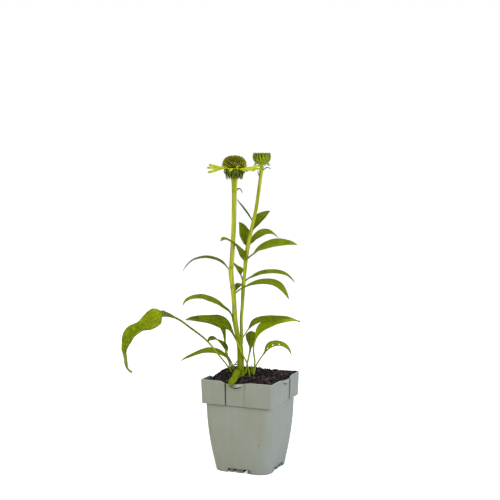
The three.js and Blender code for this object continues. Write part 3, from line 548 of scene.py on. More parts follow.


# %% The leaves on the stems
# Each tone is partly the leaf's own green and partly painted light and shade: higher on lit leaves, lower on
# shaded ones
STEM_LEAVES = {
    "leaf_bract_main": (MAIN_STEM, 328, dict(
        heading=52, rib=[(0, -1), (3, 2), (6, 4), (9, 2), (11, -2)],
        width=2.2, stalk=0.1, fold=15, tone=0.25)),
    "leaf_main_1": (MAIN_STEM, 234, dict(
        heading=200, rib=[(0, -1), (6, 7), (14, 13), (28, 16.5), (44, 14), (53, 6.5), (57, 0)],
        width=10.5, stalk=0.08, fold=18, roll=-4, wave=0.2, waves=2, outline=(0.5, 1), tone=0.22)),
    "leaf_main_2": (MAIN_STEM, 207, dict(
        heading=2, stalk_half=1.5,
        rib=[(0, 0), (5, 4), (10, 7.5), (21, 12), (38, 14.5), (52, 12.5), (60, 8), (69, -3)],
        width=12, stalk=0.14, fold=20, roll=16, wave=0.3, waves=2, tone=0.42,
        edges=[(0.05, 1.7, 1.7), (0.15, 1.6, 1.6), (0.25, 2.8, 2.6), (0.4, 8, 4), (0.55, 9.4, 2.6),
               (0.7, 9, 3.4), (0.8, 6.9, 4.8), (0.88, 4.6, 3.4), (0.95, 2.6, 1.5), (1, 0.3, 0.3)])),
    "leaf_main_3": (MAIN_STEM, 206, dict(
        heading=94, rib=[(0, 0), (5, 5), (14, 8.5), (27, 10), (39, 7)],
        width=10, stalk=0.12, fold=16, wave=0.3, waves=2, tone=0.15)),
    "leaf_main_4": (MAIN_STEM, 170, dict(
        heading=215, stalk_half=1.5,
        rib=[(0, 0), (2.8, 4), (4.4, 11), (8, 17), (14.8, 21.5), (21.8, 26), (32.8, 30.5), (41.8, 33.5),
             (53.8, 33), (60.2, 30), (63.6, 25.4)],
        width=12.5, stalk=0.1, fold=16, roll=-22, wave=0.3, waves=2, tone=0.4,
        edges=[(0.04, 2.4, 2.4), (0.12, 3, 3.6), (0.22, 3, 4), (0.32, 3, 5.2), (0.42, 3.2, 7),
               (0.5, 3.2, 8), (0.6, 3, 8.4), (0.7, 2.2, 7.6), (0.8, 1.4, 5.8), (0.9, 1.4, 3.4),
               (0.96, 1, 1.5), (1, 0.3, 0.3)])),
    "leaf_side_1": (SIDE_STEM, 293, dict(
        heading=172, rib=[(0, -1), (5, 6), (14, 16), (23, 26)],
        width=4, stalk=0.1, fold=14, wave=0.1, waves=2, tone=0.1)),
    "leaf_side_2": (SIDE_STEM, 279, dict(
        heading=57, rib=[(0, 0), (3, 4), (8, 9.5), (15, 16.5), (22, 22), (28, 25.5)],
        width=10, stalk=0.1, fold=14, roll=18, wave=0.2, waves=2, tone=0.33,
        edges=[(0.1, 1, 1), (0.25, 4.4, 3.4), (0.4, 7, 4.6), (0.55, 8.4, 5.4), (0.7, 8, 4.8),
               (0.85, 5.2, 3), (0.95, 2.4, 1.5), (1, 0.3, 0.3)])),
    "leaf_side_3": (SIDE_STEM, 262, dict(
        heading=142, rib=[(0, -1), (3, 3), (8, 11), (13, 19), (21, 29)],
        width=13, stalk=0.12, fold=14, wave=0.2, waves=2, tone=0.35,
        edges=[(0.12, 1.4, 1.4), (0.2, 4, 3.6), (0.3, 5.6, 6), (0.4, 6.3, 8), (0.5, 6.4, 8.8),
               (0.6, 5.7, 8.8), (0.7, 4.5, 8), (0.8, 2.9, 6.8), (0.9, 1.6, 4.6), (0.96, 0.9, 2.4),
               (1, 0.3, 0.5)])),
    "leaf_side_4": (SIDE_STEM, 264, dict(
        heading=52, rib=[(0, 0), (4, 3), (9, 8), (20, 14.5), (31, 14.6), (42, 8)],
        width=11.4, stalk=0.1, fold=16, roll=34, wave=0.2, waves=2, tone=0.5, outline=(0.5, 0.8))),
    "leaf_side_5": (SIDE_STEM, 248, dict(
        heading=357,
        rib=[(0, -1), (3, 2), (9, 6.4), (17, 11.8), (30, 16.8), (42, 19.4), (54, 20.4), (66, 19.6)],
        width=12, stalk=0.06, stalk_half=1.5, fold=16, roll=38, wave=0.3, waves=2, tone=0.5,
        edges=[(0.04, 1.7, 1.7), (0.09, 3, 2.2), (0.13, 5, 3), (0.18, 7, 4.2), (0.24, 8.2, 5.4),
               (0.32, 8.9, 6.2), (0.42, 9.2, 6.8), (0.52, 9.2, 6.6), (0.6, 8.6, 5.6), (0.7, 7.6, 4.6),
               (0.8, 5.8, 3.6), (0.9, 3.6, 2.3), (0.96, 1.9, 1.2), (1, 0.3, 0.3)])),
    "leaf_side_6": (SIDE_STEM, 245, dict(
        heading=250, rib=[(0, 0), (4, 6), (9, 13), (16, 20), (28, 27), (36, 29), (43, 27)],
        width=9, stalk=0.1, fold=14, roll=-20, wave=0.2, waves=2, tone=0.42,
        edges=[(0.04, 2.6, 2), (0.12, 4.8, 4.8), (0.2, 6.8, 7), (0.3, 8, 8.8), (0.45, 7, 7.8),
               (0.6, 5.6, 6.6), (0.7, 4.4, 5.8), (0.8, 3.2, 4.8), (0.9, 2, 3.4), (0.96, 0.8, 1.6),
               (1, 0.4, 0.5)])),
    "leaf_side_7": (SIDE_STEM, 221, dict(
        heading=152, rib=[(0, -1), (3, 4), (6.5, 9), (12, 15), (20.4, 22)],
        width=8, stalk=0.14, fold=16, roll=-10, wave=0.2, waves=2, tone=0.45,
        edges=[(0.1, 1, 1), (0.36, 1.2, 1.3), (0.42, 1.4, 3.4), (0.47, 1.7, 5.8), (0.55, 2, 6.6),
               (0.64, 2, 5.4), (0.74, 1.8, 3.2), (0.86, 1.5, 1.8), (0.95, 1, 1.1), (1, 0.4, 0.4)])),
    "leaf_side_8": (SIDE_STEM, 220, dict(
        heading=32,
        rib=[(0, 0), (5, 5), (13, 8), (23, 11), (35, 11.8), (50, 9.2), (58, 3.4), (62, -1.8)],
        width=11, stalk=0.12, stalk_half=1.3, fold=18, roll=24, wave=0.25, waves=2, tone=0.42,
        outline=(0.55, 0.8))),
    "leaf_side_9": (SIDE_STEM, 153, dict(
        heading=30,
        rib=[(0, 0), (3, 4), (6, 9), (12, 15), (20, 19.6), (29, 21.8), (41, 22.8), (59, 23.6)],
        width=11, stalk=0.2, fold=16, roll=28, wave=0.3, waves=2, tone=0.32,
        edges=[(0.2, 0.8, 0.8), (0.26, 4, 1.6), (0.35, 7.4, 2), (0.45, 8, 2.2), (0.6, 6.8, 2.2),
               (0.75, 5.4, 2), (0.85, 4.2, 1.8), (0.94, 3.2, 1.4), (1, 0.5, 0.3)])),
    "leaf_bud_left": (SIDE_STEM, 345, dict(
        heading=202, rib=[(0, -1), (2, 4), (3.5, 8)], width=2, stalk=0.1, fold=10, tone=0.15)),
    "leaf_bud_right": (SIDE_STEM, 352, dict(
        heading=22, rib=[(0, -1), (3, 2.5), (7, 4.6), (12, 2.8)], width=2, stalk=0.1, fold=10, tone=0.15)),
}

# %% [markdown]
# The leaves from the crown stand in holes in the soil. Their stalks go on below its surface, so the
# height of the soil is worked out here too: it is heaped round the crown, sunk in the front corner on
# the left and level with the rim in the corner across from it.

# %% The soil's surface and the leaves from the crown
STALK_DEPTH = 8
SOIL = dict(level=108, back_rise=1.5, back_bow=0.5, corner_sink=5.5, corner_rise=1.8)
HEAP = dict(x=-17, y=20, height=3.6, spread=20)
RIM_HALF = 45.4


def soil_height(x, y):
    across = (x + y) / (2 * RIM_HALF)
    back = (y - x) / (2 * RIM_HALF)
    heap = HEAP["height"] * bell(np.hypot(x - HEAP["x"], y - HEAP["y"]), HEAP["spread"] * math.sqrt(2))
    clods = 0.5 * np.sin(0.55 * x + 1) * np.sin(0.6 * y) + 0.3 * np.sin(1.1 * x - 0.9 * y)
    corner = np.where(across < 0, -SOIL["corner_sink"], SOIL["corner_rise"])
    return (
        SOIL["level"] + SOIL["back_rise"] * back - SOIL["back_bow"] * back**2 + corner * across**4
        + heap + clods
    )


# Each tone is partly the leaf's own green and partly painted light and shade: higher on lit leaves, lower on
# shaded ones
CROWN_LEAVES = {
    "leaf_crown_1": ((-30, 16.5), dict(
        heading=172,
        rib=[(6, 9), (9, 14), (11, 24), (11.6, 33), (12.3, 43), (14, 53), (16, 61)],
        width=11, stalk=0.5, fold=10, roll=-60, wave=0.3, waves=2, tone=0.3,
        edges=[(0.5, 0.9, 0.9), (0.62, 1.2, 1.2), (0.75, 2.4, 1.8), (0.85, 4.6, 2.6), (0.92, 7, 3.6),
               (0.97, 8, 4), (1, 6, 2.4)])),
    "leaf_crown_2": ((-31, 10.5), dict(
        heading=188,
        rib=[(3, 16), (5, 23), (6, 28), (10, 33), (15, 36.5), (21, 38.5), (26, 37.5), (28, 34)],
        width=7, stalk=0.5, fold=14, roll=-62, wave=0.3, waves=1, tone=0.2,
        edges=[(0.46, 0.9, 0.9), (0.53, 1.8, 2.6), (0.59, 2.7, 3.3), (0.66, 2.5, 2.8), (0.73, 1.7, 1.7),
               (0.79, 0.8, 0.8), (0.85, 2, 2.4), (0.9, 2.7, 3), (0.95, 2.3, 2.2), (1, 0.8, 0.6)])),
    "leaf_crown_3": ((-23.2, 7.6), dict(
        heading=198,
        rib=[(3, 8), (6, 13), (11, 18), (19, 22.7), (27, 24.6), (36, 24.2), (44, 22.2), (52, 19.2),
             (60, 15.8), (67, 12)],
        width=11, stalk=0.2, fold=16, roll=-24, wave=0.3, waves=2, tone=0.52,
        edges=[(0.2, 1, 1), (0.26, 2.6, 2.8), (0.34, 4, 4.2), (0.45, 4.8, 5.4), (0.58, 5, 6.4),
               (0.7, 4.6, 5.6), (0.8, 3.5, 4.3), (0.9, 1.9, 2.6), (0.96, 0.9, 1.2), (1, 0.3, 0.3)])),
    "leaf_crown_4": ((-24.6, 1.8), dict(
        heading=209,
        rib=[(6, 9), (17, 23), (31, 40), (51, 56), (63, 65), (74, 70), (84, 71), (93, 66.5), (102, 61.5),
             (110, 57), (121.3, 49.5), (125.9, 39), (127.6, 27), (127.2, 17), (125.6, 9), (122.6, 4.8),
             (119.6, 3.4)],
        width=21, stalk=0.51, stalk_half=1.25, fold=12, roll=-50, wave=0.6, waves=3,
        outline=(0.38, 1.7), tone=0.5, twist=(0.85, 0.92, -55), rolled=0.885,
        edges=[(0.44, 1.25, 1.25), (0.49, 1.4, 1.4), (0.51, 1.8, 2.2), (0.53, 2.2, 3.6), (0.55, 2.7, 5),
               (0.565, 3.2, 6), (0.572, 6.4, 8.4), (0.585, 10.4, 11.8), (0.6, 12.6, 13.4), (0.62, 13, 13),
               (0.655, 11.8, 10.2), (0.7, 8, 7.4), (0.75, 8.6, 9), (0.8, 7.8, 7.6), (0.835, 5.2, 5.4),
               (0.862, 2.9, 4.9), (0.88, 2, 3.2), (0.9, 2.3, 2.3), (0.94, 2.1, 2), (0.97, 1.5, 1.4),
               (1, 1.5, 1.5)])),
    "leaf_crown_5": ((-1.6, 8.5), dict(
        heading=38,
        rib=[(3, 12), (1.5, 27), (2, 35), (6, 45.5), (11, 52.5), (18, 58), (27, 61), (38, 62), (50, 62),
             (60, 60.1)],
        width=12.5, stalk=0.42, base=5, stalk_half=1.05, fold=14, roll=45, wave=0.3, waves=2, tone=1.0,
        edges=[(0.4, 1.05, 1.05), (0.45, 1.4, 1.2), (0.5, 4, 2.4), (0.55, 6.2, 4), (0.6, 7, 5.8),
               (0.65, 6.6, 6.7), (0.7, 6.8, 6.2), (0.75, 7.2, 4.8), (0.8, 6.8, 3.5), (0.85, 5.8, 2.4),
               (0.9, 4.2, 1.6), (0.95, 2, 1), (0.975, 1.1, 0.9), (1, 1.3, 1.1)])),
    "leaf_crown_6": ((-8.6, 5.1), dict(
        heading=110, rib=[(2, 13, -2), (6, 25, -4.5), (11, 33, -5.6), (19, 41, -5.8), (27, 47, -5)],
        width=13.4, stalk=0.5, base=5, stalk_half=1.05, fold=10, wave=0.2, waves=2, tone=0.25,
        edges=[(0.5, 1.05, 1.05), (0.6, 1.5, 1.5), (0.66, 3, 3), (0.72, 4.8, 4.6), (0.78, 6.2, 5.8),
               (0.84, 6.9, 6.6), (0.89, 6.7, 6.5), (0.93, 5.6, 5.4), (0.97, 3.4, 3.2), (1, 0.5, 0.5)])),
    "leaf_crown_7": ((1.9, 4.1), dict(
        heading=12,
        rib=[(2.6, 11), (6.7, 18), (10.7, 24), (15.2, 29.5), (20.7, 34), (27.7, 36.5), (35.7, 36),
             (41.7, 32), (45.7, 25)],
        width=10, stalk=0.45, stalk_half=1.15, fold=22, roll=22, wave=0.4, waves=2, base=6, tone=0.62,
        edges=[(0.45, 1.15, 1.15), (0.5, 3, 3.2), (0.55, 7, 4.8), (0.6, 9.4, 5.8), (0.65, 9.2, 6),
               (0.7, 8, 5), (0.75, 6.4, 4), (0.8, 5.2, 3.2), (0.85, 4.2, 2.7), (0.9, 3, 2.2),
               (0.95, 1.6, 1.5), (1, 0.3, 0.3)])),
    "leaf_crown_8": ((-1.9, 0.3), dict(
        heading=228,
        rib=[(2, 9, 1), (4, 16, 2), (8, 23, 2.5), (12, 31, 2.5), (16, 40, 2), (20, 48.5, 1), (25, 56, 0),
             (32, 62, 0), (42, 66, 0), (54, 69, 0), (66, 71, 0), (76, 71.9, 0), (82, 71.8, 0)],
        width=17, stalk=0.42, base=5, stalk_half=1.3, pale_stalk=1, fold=12, roll=-36, wave=0.4,
        waves=2, tone=0.2,
        edges=[(0.42, 1.4, 1.4), (0.47, 1.8, 2.2), (0.52, 2.8, 5.6), (0.56, 4.6, 10.6), (0.6, 7.6, 13),
               (0.65, 10.2, 12.8), (0.7, 10, 11.2), (0.75, 8, 9.6), (0.8, 5.8, 8.4), (0.85, 4.4, 7.2),
               (0.9, 3.1, 5.6), (0.95, 1.5, 3.6), (0.98, 0.8, 1.7), (1, 0.3, 0.4)])),
    "leaf_crown_9": ((-9.8, -10.4), dict(
        heading=278,
        rib=[(1, 6), (3, 9), (8, 9), (15, 5.8), (22, 3.2), (30, 1.5), (35, 0.5), (38.2, -1.2), (39.8, -4)],
        width=9, stalk=0.08, fold=12, wave=0.35, waves=2, base=4, tone=0.45,
        edges=[(0.12, 2, 2), (0.24, 2.6, 2.6), (0.34, 3.2, 3.4), (0.45, 3.8, 4), (0.6, 4.4, 4.3),
               (0.75, 4.8, 5), (0.86, 4.4, 4.6), (0.94, 3.2, 3.6), (1, 1.4, 1.4)])),
}

# %% [markdown]
# No two leaves are alike, so some of them get marks of their own: the long left leaf has dried up at
# its neck and its tissue is blistered, three have a dry tip, and an insect has bitten holes in one. A
# dry mark is a formula over the leaf: `t` along all of it, `x` along its blade and `u` across it.

# %% What is special to some leaves
NECK = (0.508, 0.567)  # where the long leaf dried up, as shares of its length
STALK_TINGE = 0.5


def dried_neck(t, x, u):
    neck = smooth(t, NECK[0] - 0.005, NECK[0] + 0.01) * (1 - smooth(t, NECK[1] - 0.006, NECK[1] + 0.006))
    tinge = smooth(t, 0.15, 0.3) * (1 - smooth(t, NECK[0], NECK[0] + 0.01))
    return 0.64 * neck + STALK_TINGE * tinge + 0 * u


def dry_tip(t, x, u):
    return smooth(x, 0.95, 0.99) + 0 * u


def dry_end(t, x, u):
    return 0.62 * smooth(x, 0.8, 0.97) + 0 * u


SPECIAL = {
    "leaf_crown_4": dict(dry=dried_neck, swell=0.6, blister=1),
    "leaf_crown_5": dict(dry=dry_tip),
    "leaf_crown_8": dict(dry=dry_tip),
    "leaf_crown_9": dict(dry=dry_end, lower=1.0),
    "leaf_side_6": dict(lower=0.6),
    "leaf_crown_7": dict(bites=[(0.56, 0.22, 1.0), (0.65, 0.2, 1.1), (0.745, 0.24, 0.9)]),
}


# %% Grow the leaves
def bite(piece, leaf, foot):
    """Cuts an insect's holes through a blade: share along it, share across it and radius of each."""
    for t, u, radius in leaf["bites"]:
        centre, _, side, normal, _ = blade_frame(leaf, foot, np.array([t]))
        place = centre[0] + side[0] * u * half_widths(leaf, np.array([t]))[0][0]
        turn = Vector(normal[0]).to_track_quat("Z", "Y").to_euler()
        bpy.ops.object.select_all(action="DESELECT")
        bpy.ops.mesh.primitive_cylinder_add(
            vertices=10, radius=radius * MM, depth=8 * MM, location=place * MM, rotation=turn
        )
        bpy.ops.object.transform_apply(location=True, rotation=True)
        drill = bpy.context.active_object
        modify(piece, "BOOLEAN", object=drill, operation="DIFFERENCE", solver="EXACT")
        remove(drill)


def grow(name, leaf, foot):
    leaf = {**BLADE, **leaf, **SPECIAL.get(name, {}), "seed": sum(map(ord, name))}
    points, facts = blade_points(leaf, foot)
    piece = skin(name.replace("leaf", "blade"), points, facts)
    if "bites" in leaf:
        bite(piece, leaf, foot)
    return finish(piece, LEAF, "leaf", name)


for name, (stem, height, leaf) in STEM_LEAVES.items():
    grow(name, leaf, on_stem(stem, height))
for name, ((x, y), leaf) in CROWN_LEAVES.items():
    planted = {"pale_stalk": 0.8, **leaf, "rib": [(0, -STALK_DEPTH), (0, 0), *leaf["rib"]]}
    grow(name, planted, (x, y, soil_height(x, y)))


# %% [markdown]
# ## Copies by the hundred
#
# Hairs, scales and crumbs of soil are too many to place one by one, and Blender's own instances would
# leave nothing in the mesh to hand on. So the shape is modelled once, one unit tall, and its corners
# are copied to every place with numpy. Each copy remembers the height of its corners and a random
# tone of its own, for the material to read.


# %% Standing, scattering and bristles
def standing(feet, ways, widths, lengths, spins):
    """Matrices that stand a unit shape on each foot, along a way, as wide and long as asked."""
    ways = unit(ways)
    aside = unit(np.cross(ways, np.where(np.abs(ways[:, 2:]) > 0.9, [[1.0, 0, 0]], [[0, 0, 1.0]])))
    third = np.cross(ways, aside)
    c, s = np.cos(spins)[:, None], np.sin(spins)[:, None]
    widths, lengths = (np.broadcast_to(size, len(feet))[:, None] for size in (widths, lengths))
    across = (aside * c + third * s) * widths
    through = (third * c - aside * s) * widths
    return np.stack([across, through, ways * lengths, feet], axis=2)


def scatter(name, master, places, seed=1):
    """One mesh with a copy of the master at every place; the master itself is removed."""
    corners = np.array([tuple(v.co) for v in master.data.vertices])
    faces = [tuple(f.vertices) for f in master.data.polygons]
    copies = np.einsum("nij,kj->nki", places[:, :, :3], corners) + places[:, None, :, 3]
    mesh = bpy.data.meshes.new(name)
    step = len(corners)
    spread = [tuple(v + k * step for v in face) for k in range(len(places)) for face in faces]
    mesh.from_pydata((copies.reshape(-1, 3) * MM).tolist(), [], spread)
    tone = np.repeat(np.random.default_rng(seed).random(len(places)), step)
    height = np.tile(corners[:, 2], len(places))
    note(mesh, "copy", np.stack([height, tone, 0 * tone], axis=1))
    piece = bpy.data.objects.new(name, mesh)
    bpy.context.scene.collection.objects.link(piece)
    remove(master)
    return piece


def spike(sides=3, blunt=0.0, fill="NGON"):
    """A unit spike on the origin, pointing up."""
    bpy.ops.object.select_all(action="DESELECT")
    bpy.ops.mesh.primitive_cone_add(
        vertices=sides, radius1=0.5, radius2=blunt, depth=1, location=(0, 0, 0.5), end_fill_type=fill
    )
    bpy.ops.object.transform_apply(location=True)
    return bpy.context.active_object


def bristles(name, piece, count, length, width, seed, lean=0.35):
    """Stiff hairs at random over a piece, standing on its faces."""
    draw = np.random.default_rng(seed)
    faces = len(piece.data.polygons)
    area, centre, normal = np.empty(faces), np.empty(faces * 3), np.empty(faces * 3)
    piece.data.polygons.foreach_get("area", area)
    piece.data.polygons.foreach_get("center", centre)
    piece.data.polygons.foreach_get("normal", normal)
    chosen = draw.choice(faces, count, p=area / area.sum())
    feet = centre.reshape(-1, 3)[chosen] / MM
    ways = normal.reshape(-1, 3)[chosen] + lean * draw.normal(size=(count, 3))
    lengths = length * draw.uniform(0.5, 1, count)
    spins = draw.uniform(0, math.tau, count)
    places = standing(feet, ways, width, lengths, spins)
    return scatter(name, spike(), places, seed)


# %% [markdown]
# ## The stems
#
# A coneflower's stem is round, finely ribbed and bristly, and paler than its leaves. Each stem is one
# skin whose radius ripples a little to make the ribs. A Boolean union then grows the side stem out of
# the main one, so that the fork is one surface.

# %% Stem material
def stem_finish():
    stem = Finish("stem green", Roughness=0.5, Specular_IOR_Level=0.1)
    grain = stem.noise(420, 4, vector=stem.place((1, 1, 0.06)))
    pale = stem.blend(stem.span(grain, 0.36, 0.64), rgb(142, 147, 10), rgb(187, 190, 50))
    _, _, height = stem.split(stem.place())
    low = stem.math("ADD", height, stem.math("MULTIPLY", stem.noise(60), 0.05))
    colour = stem.blend(stem.span(low, 0.13, 0.26, 0.85, 0.0), pale, rgb(114, 124, 0))
    stains = stem.math("MULTIPLY", stem.span(stem.noise(90, 4), 0.58, 0.7), 0.5)
    colour = stem.blend(stains, colour, rgb(122, 108, 44))
    dots = stem.span(stem.cells(1400, feature="F1"), 0.0, 0.22, 0.6, 0.0)
    colour = stem.blend(dots, colour, rgb(104, 112, 20))
    return stem.finished(colour, 0.5, grain, depth=0.0002, strength=0.5)


STEM = stem_finish()
HAIR = Finish("pale hairs", Base_Color=rgb(184, 190, 70), Roughness=0.6, Specular_IOR_Level=0.1).material

# %% Stem form
STEM_AROUND = 24
STEM_STEP = 1.5
STEM_RIBS = 8


def stem_tube(name, axis):
    axis = np.array(axis, float)
    length = line(axis[:, :3], [0])[2]
    shares = np.linspace(0, 1, int(length / STEM_STEP))
    centre, ahead, _ = line(axis[:, :3], shares)
    left = unit(np.array([0, 1.0, 0]) - ahead * ahead[:, 1:2])
    front = np.cross(left, ahead)
    angle = np.linspace(0, math.tau, STEM_AROUND, endpoint=False)
    ribs = 0.975 + 0.04 * np.cos(STEM_RIBS * angle)
    radius = np.interp(centre[:, 2], axis[:, 2], axis[:, 3])[:, None] * ribs
    radius = radius + 0.06 * ripples(centre[:, 2:] / 2.3, angle[None, :] * 0.5, len(axis))
    out = front[:, None] * np.cos(angle)[:, None] + left[:, None] * np.sin(angle)[:, None]
    wall = centre[:, None] + out * radius[..., None]
    ends = [np.repeat(centre[[k], None], STEM_AROUND, axis=1) for k in (0, -1)]
    return skin(name, np.concatenate([ends[0], wall, ends[1]]))


stems = stem_tube("stem_skin", MAIN_STEM)
side_stem = stem_tube("side_stem", SIDE_STEM)
modify(stems, "BOOLEAN", object=side_stem, operation="UNION", solver="EXACT")
remove(side_stem)
finish(stems, STEM, "stem", "stems")
finish(bristles("stem_hairs", stems, 3600, 0.75, 0.09, 5), HAIR, "stem")

# %% [markdown]
# Round the crown there is more than stems: short green sheaths that never grew into leaves, the pale
# foot of a stalk, and scraps of old leaves that dried up. They are small blades too. Where the long
# leaf's neck dried up, it tore, and a tuft of brown fibres stands there.

# %% Sheaths, dry scraps and the torn tuft
SHEATHS = [
    ((-8.8, -9), dict(heading=300, rib=[(0, 0), (0.5, 4), (0.8, 8), (1.8, 12)], width=6.6, tone=0.8)),
    ((-10.2, -8), dict(heading=262, rib=[(0, 0), (0.8, 4), (1.2, 8), (2.6, 12)], width=5.6, tone=0.7)),
    ((-7.6, -6.4), dict(heading=318, rib=[(0, 0), (0.9, 4), (1.4, 7), (2.8, 9.4)], width=4.8, tone=0.85)),
    ((-13.6, -6.6), dict(heading=214, rib=[(0, 0), (1.2, 4), (2, 8), (4, 11)], width=5, tone=0.8)),
    ((-15.5, -3), dict(heading=190, rib=[(0, 0), (1.6, 3), (3.4, 5.4), (6, 6.4)], width=4.2, tone=0.9)),
    ((-7.2, -2.2), dict(heading=330, rib=[(0, 0), (0.6, 3.4), (1.2, 6.5), (2.6, 8.8)], width=3.8, tone=0.6)),
    ((-12, -8), dict(heading=240, rib=[(0, 0), (1.2, 3), (2.4, 5), (4.4, 6)], width=4, tone=1)),
    ((-20, -0.5), dict(heading=200, rib=[(0, 0), (0.6, 4), (2, 8), (4.6, 11)], width=3.6, tone=0.1)),
]
PALE_FOOT = (
    (-2.2, 6.8),
    dict(heading=300, rib=[(0, 0), (0.6, 4), (0.8, 8), (0.4, 12)], width=3, tone=1, pale_stalk=1),
)
SCRAPS = [
    ((-14.2, -5.5, 127), dict(
        heading=200, rib=[(0, 0), (1.2, -1), (2.8, -3.2), (4.6, -5), (6.4, -4.8)], width=2.8)),
    ((-14, -5.4, 121.5), dict(heading=190, rib=[(0, 0), (2, 0.8), (4.4, 0.6), (6, 2)], width=2)),
    ((-8.4, -3.8, 118.5), dict(heading=20, rib=[(0, 0), (1.2, 1.4), (2.4, 1.2)], width=1.8)),
]
SMALL_BLADE = dict(
    base=3, stalk_half=1.3, fold=30, rows=16, columns=9, swell=0.05, rib_depth=0.3, outline=(0.4, 0.7),
)
TUFT = 16


def all_dry(t, x, u):
    return 0.75 + 0.25 * smooth(t, 0.2, 0.8) + 0 * x + 0 * u


def small_blade(number, foot, leaf, **marks):
    points, facts = blade_points({**SMALL_BLADE, **leaf, **marks, "seed": number}, foot)
    facts["face"][:, :, 1] = 1  # as green outside as inside
    return skin("small_blade", points, facts)


sheaths = [
    small_blade(number, (x, y, soil_height(x, y) - 1), leaf)
    for number, ((x, y), leaf) in enumerate([*SHEATHS, PALE_FOOT])
]
finish(join("sheaths", sheaths), LEAF, "leaf")
scraps = [small_blade(number, foot, leaf, dry=all_dry) for number, (foot, leaf) in enumerate(SCRAPS)]
finish(join("dry_scraps", scraps), LEAF, "leaf")

(x, y), long_leaf = CROWN_LEAVES["leaf_crown_4"]
long_leaf = {**BLADE, **long_leaf, "rib": [(0, -STALK_DEPTH), (0, 0), *long_leaf["rib"]]}
draw = np.random.default_rng(31)
centre, _, side, _, _ = blade_frame(long_leaf, (x, y, soil_height(x, y)), draw.uniform(0.55, 0.566, TUFT))
feet = centre - side * 5.4 + 0.4 * draw.normal(size=(TUFT, 3))
ways = [0, 0, 0.7] + 0.55 * draw.normal(size=(TUFT, 3))
places = standing(feet, ways, 0.7, draw.uniform(1.2, 3.0, TUFT), draw.uniform(0, math.tau, TUFT))
DRY = Finish("dry fibres", Base_Color=rgb(104, 88, 54), Roughness=0.8).material
finish(scatter("torn_tuft", spike(4), places, seed=32), DRY, "leaf")

# %% [markdown]
# ## The open flower
#
# The head sits on the end of the main stem. Under it are rows of pointed bracts that bend back,
# then come eighteen rays in one whorl, and on top stands the cone. All of it is drawn round the
# head's own axis and then set in its place.


# %% Heads and turned bodies
def on_head(points, stem, turn=0):
    """Moves points from a head's own axis to the end of its stem."""
    c, s = math.cos(math.radians(turn)), math.sin(math.radians(turn))
    return np.asarray(points) @ np.array([[c, s, 0], [-s, c, 0], [0, 0, 1.0]]) + stem[-1][:3]


def turned(outline, around=40, rows=24):
    """Rings round the Z axis through a smooth outline of radius and height."""
    places, _, _ = line([(r, 0, z) for r, z in outline], np.linspace(0, 1, rows))
    places[[0, -1], 0] = 0
    angle = np.linspace(0, math.tau, around, endpoint=False)
    ring = np.stack([np.cos(angle), np.sin(angle), 0 * angle], axis=1)
    return np.maximum(places[:, None, :1], 0) * ring + places[:, None, 2:] * [0, 0, 1]


BRACT_SUNK = 1.3
BRACT = dict(stalk=0, fold=12, rows=13, columns=7, swell=0.03, rib_depth=0.25, outline=(0.3, 0.9))


def bract_rows(name, rows, seed, place, uneven=0.12):
    """Rows of bracts round a head, each bract a small blade with its foot sunk in the core."""
    draw = random.Random(seed)
    made = []
    for number, (count, height, reach, width, rib) in enumerate(rows):
        for k in range(count):
            heading = 360 / count * (k + number / 2) + 8 * (draw.random() - 0.5)
            stretch = 1 + uneven * (2 * draw.random() - 1)
            leaf = {
                **BRACT, "heading": heading, "width": width, "base": width * 0.9, "seed": k,
                "roll": 16 * (draw.random() - 0.5),
                "rib": [(out * stretch - BRACT_SUNK, up * stretch) for out, up in rib],
            }
            turn = math.radians(heading)
            points, facts = blade_points(leaf, (reach * math.cos(turn), reach * math.sin(turn), height))
            made.append(skin(name, place(points), facts))
    return made


# %% Bract materials
def bract_finish(name, light, dark, tip):
    """Green bracts, lighter down the middle as a painted highlight, darker at the edges as painted shade, and
    darker towards the tip.
    """
    bract = Finish(name, Roughness=0.55, Specular_IOR_Level=0.16)
    _, _, share = bract.fact("leaf")
    edge, _, _ = bract.fact("face")
    green = bract.blend(bract.span(bract.noise(700), 0.3, 0.7), dark, light)
    colour = bract.blend(bract.span(edge, 0.25, 0.9), green, dark)
    colour = bract.blend(bract.span(share, 0.7, 1.0, 0.0, 0.9), colour, tip)
    return bract.finished(colour, 0.55, bract.noise(1500), depth=0.0001, strength=0.5)


BRACT_GREEN = bract_finish("bract green", rgb(136, 148, 34), rgb(64, 76, 6), rgb(64, 70, 12))
BUD_GREEN = bract_finish("bud green", rgb(184, 198, 34), rgb(100, 120, 2), rgb(108, 124, 8))

# %% The bracts under the flower
FLOWER_TURN = 3
INVOLUCRE_ROWS = [
    (20, 10.3, 10.4, 2.5, [(0, 0), (2.3, 0.2), (3.2, -1.6), (2.6, -4.6)]),
    (17, 8.6, 9.0, 2.4, [(0, 0), (2.5, 0.2), (3.2, -2.2), (2.2, -6.6)]),
    (14, 6.6, 7.8, 2.3, [(0, 0), (2.4, 0.2), (3.3, -2.6), (2.4, -7.4)]),
    (12, 5.0, 6.4, 2.0, [(0, 0), (2.0, 0.2), (2.6, -2.2), (2.0, -5.6)]),
]


def on_flower(points):
    return on_head(points, MAIN_STEM, FLOWER_TURN)


receptacle = turned([
    (0, 0.3), (3.9, 0.3), (5.6, 2.4), (7.6, 5.2), (9.6, 8), (10.6, 9.8), (9.8, 10.4), (0, 10.4),
])
core = skin("receptacle", on_flower(receptacle))
involucre = join("involucre", [core, *bract_rows("bract", INVOLUCRE_ROWS, 11, on_flower)])
finish(involucre, BRACT_GREEN, "bract", "flower_involucre")
finish(bristles("involucre_hairs", involucre, 800, 0.8, 0.08, 6), HAIR, "bract")

# %% [markdown]
# The rays are young and narrow, and no two lie alike: some curl up in front of the cone and others
# hang. So each has its own line in a table. A ray is a strap with two pleats along it and a tip cut
# into little teeth, which the blade helper makes by pulling the tip's columns back.

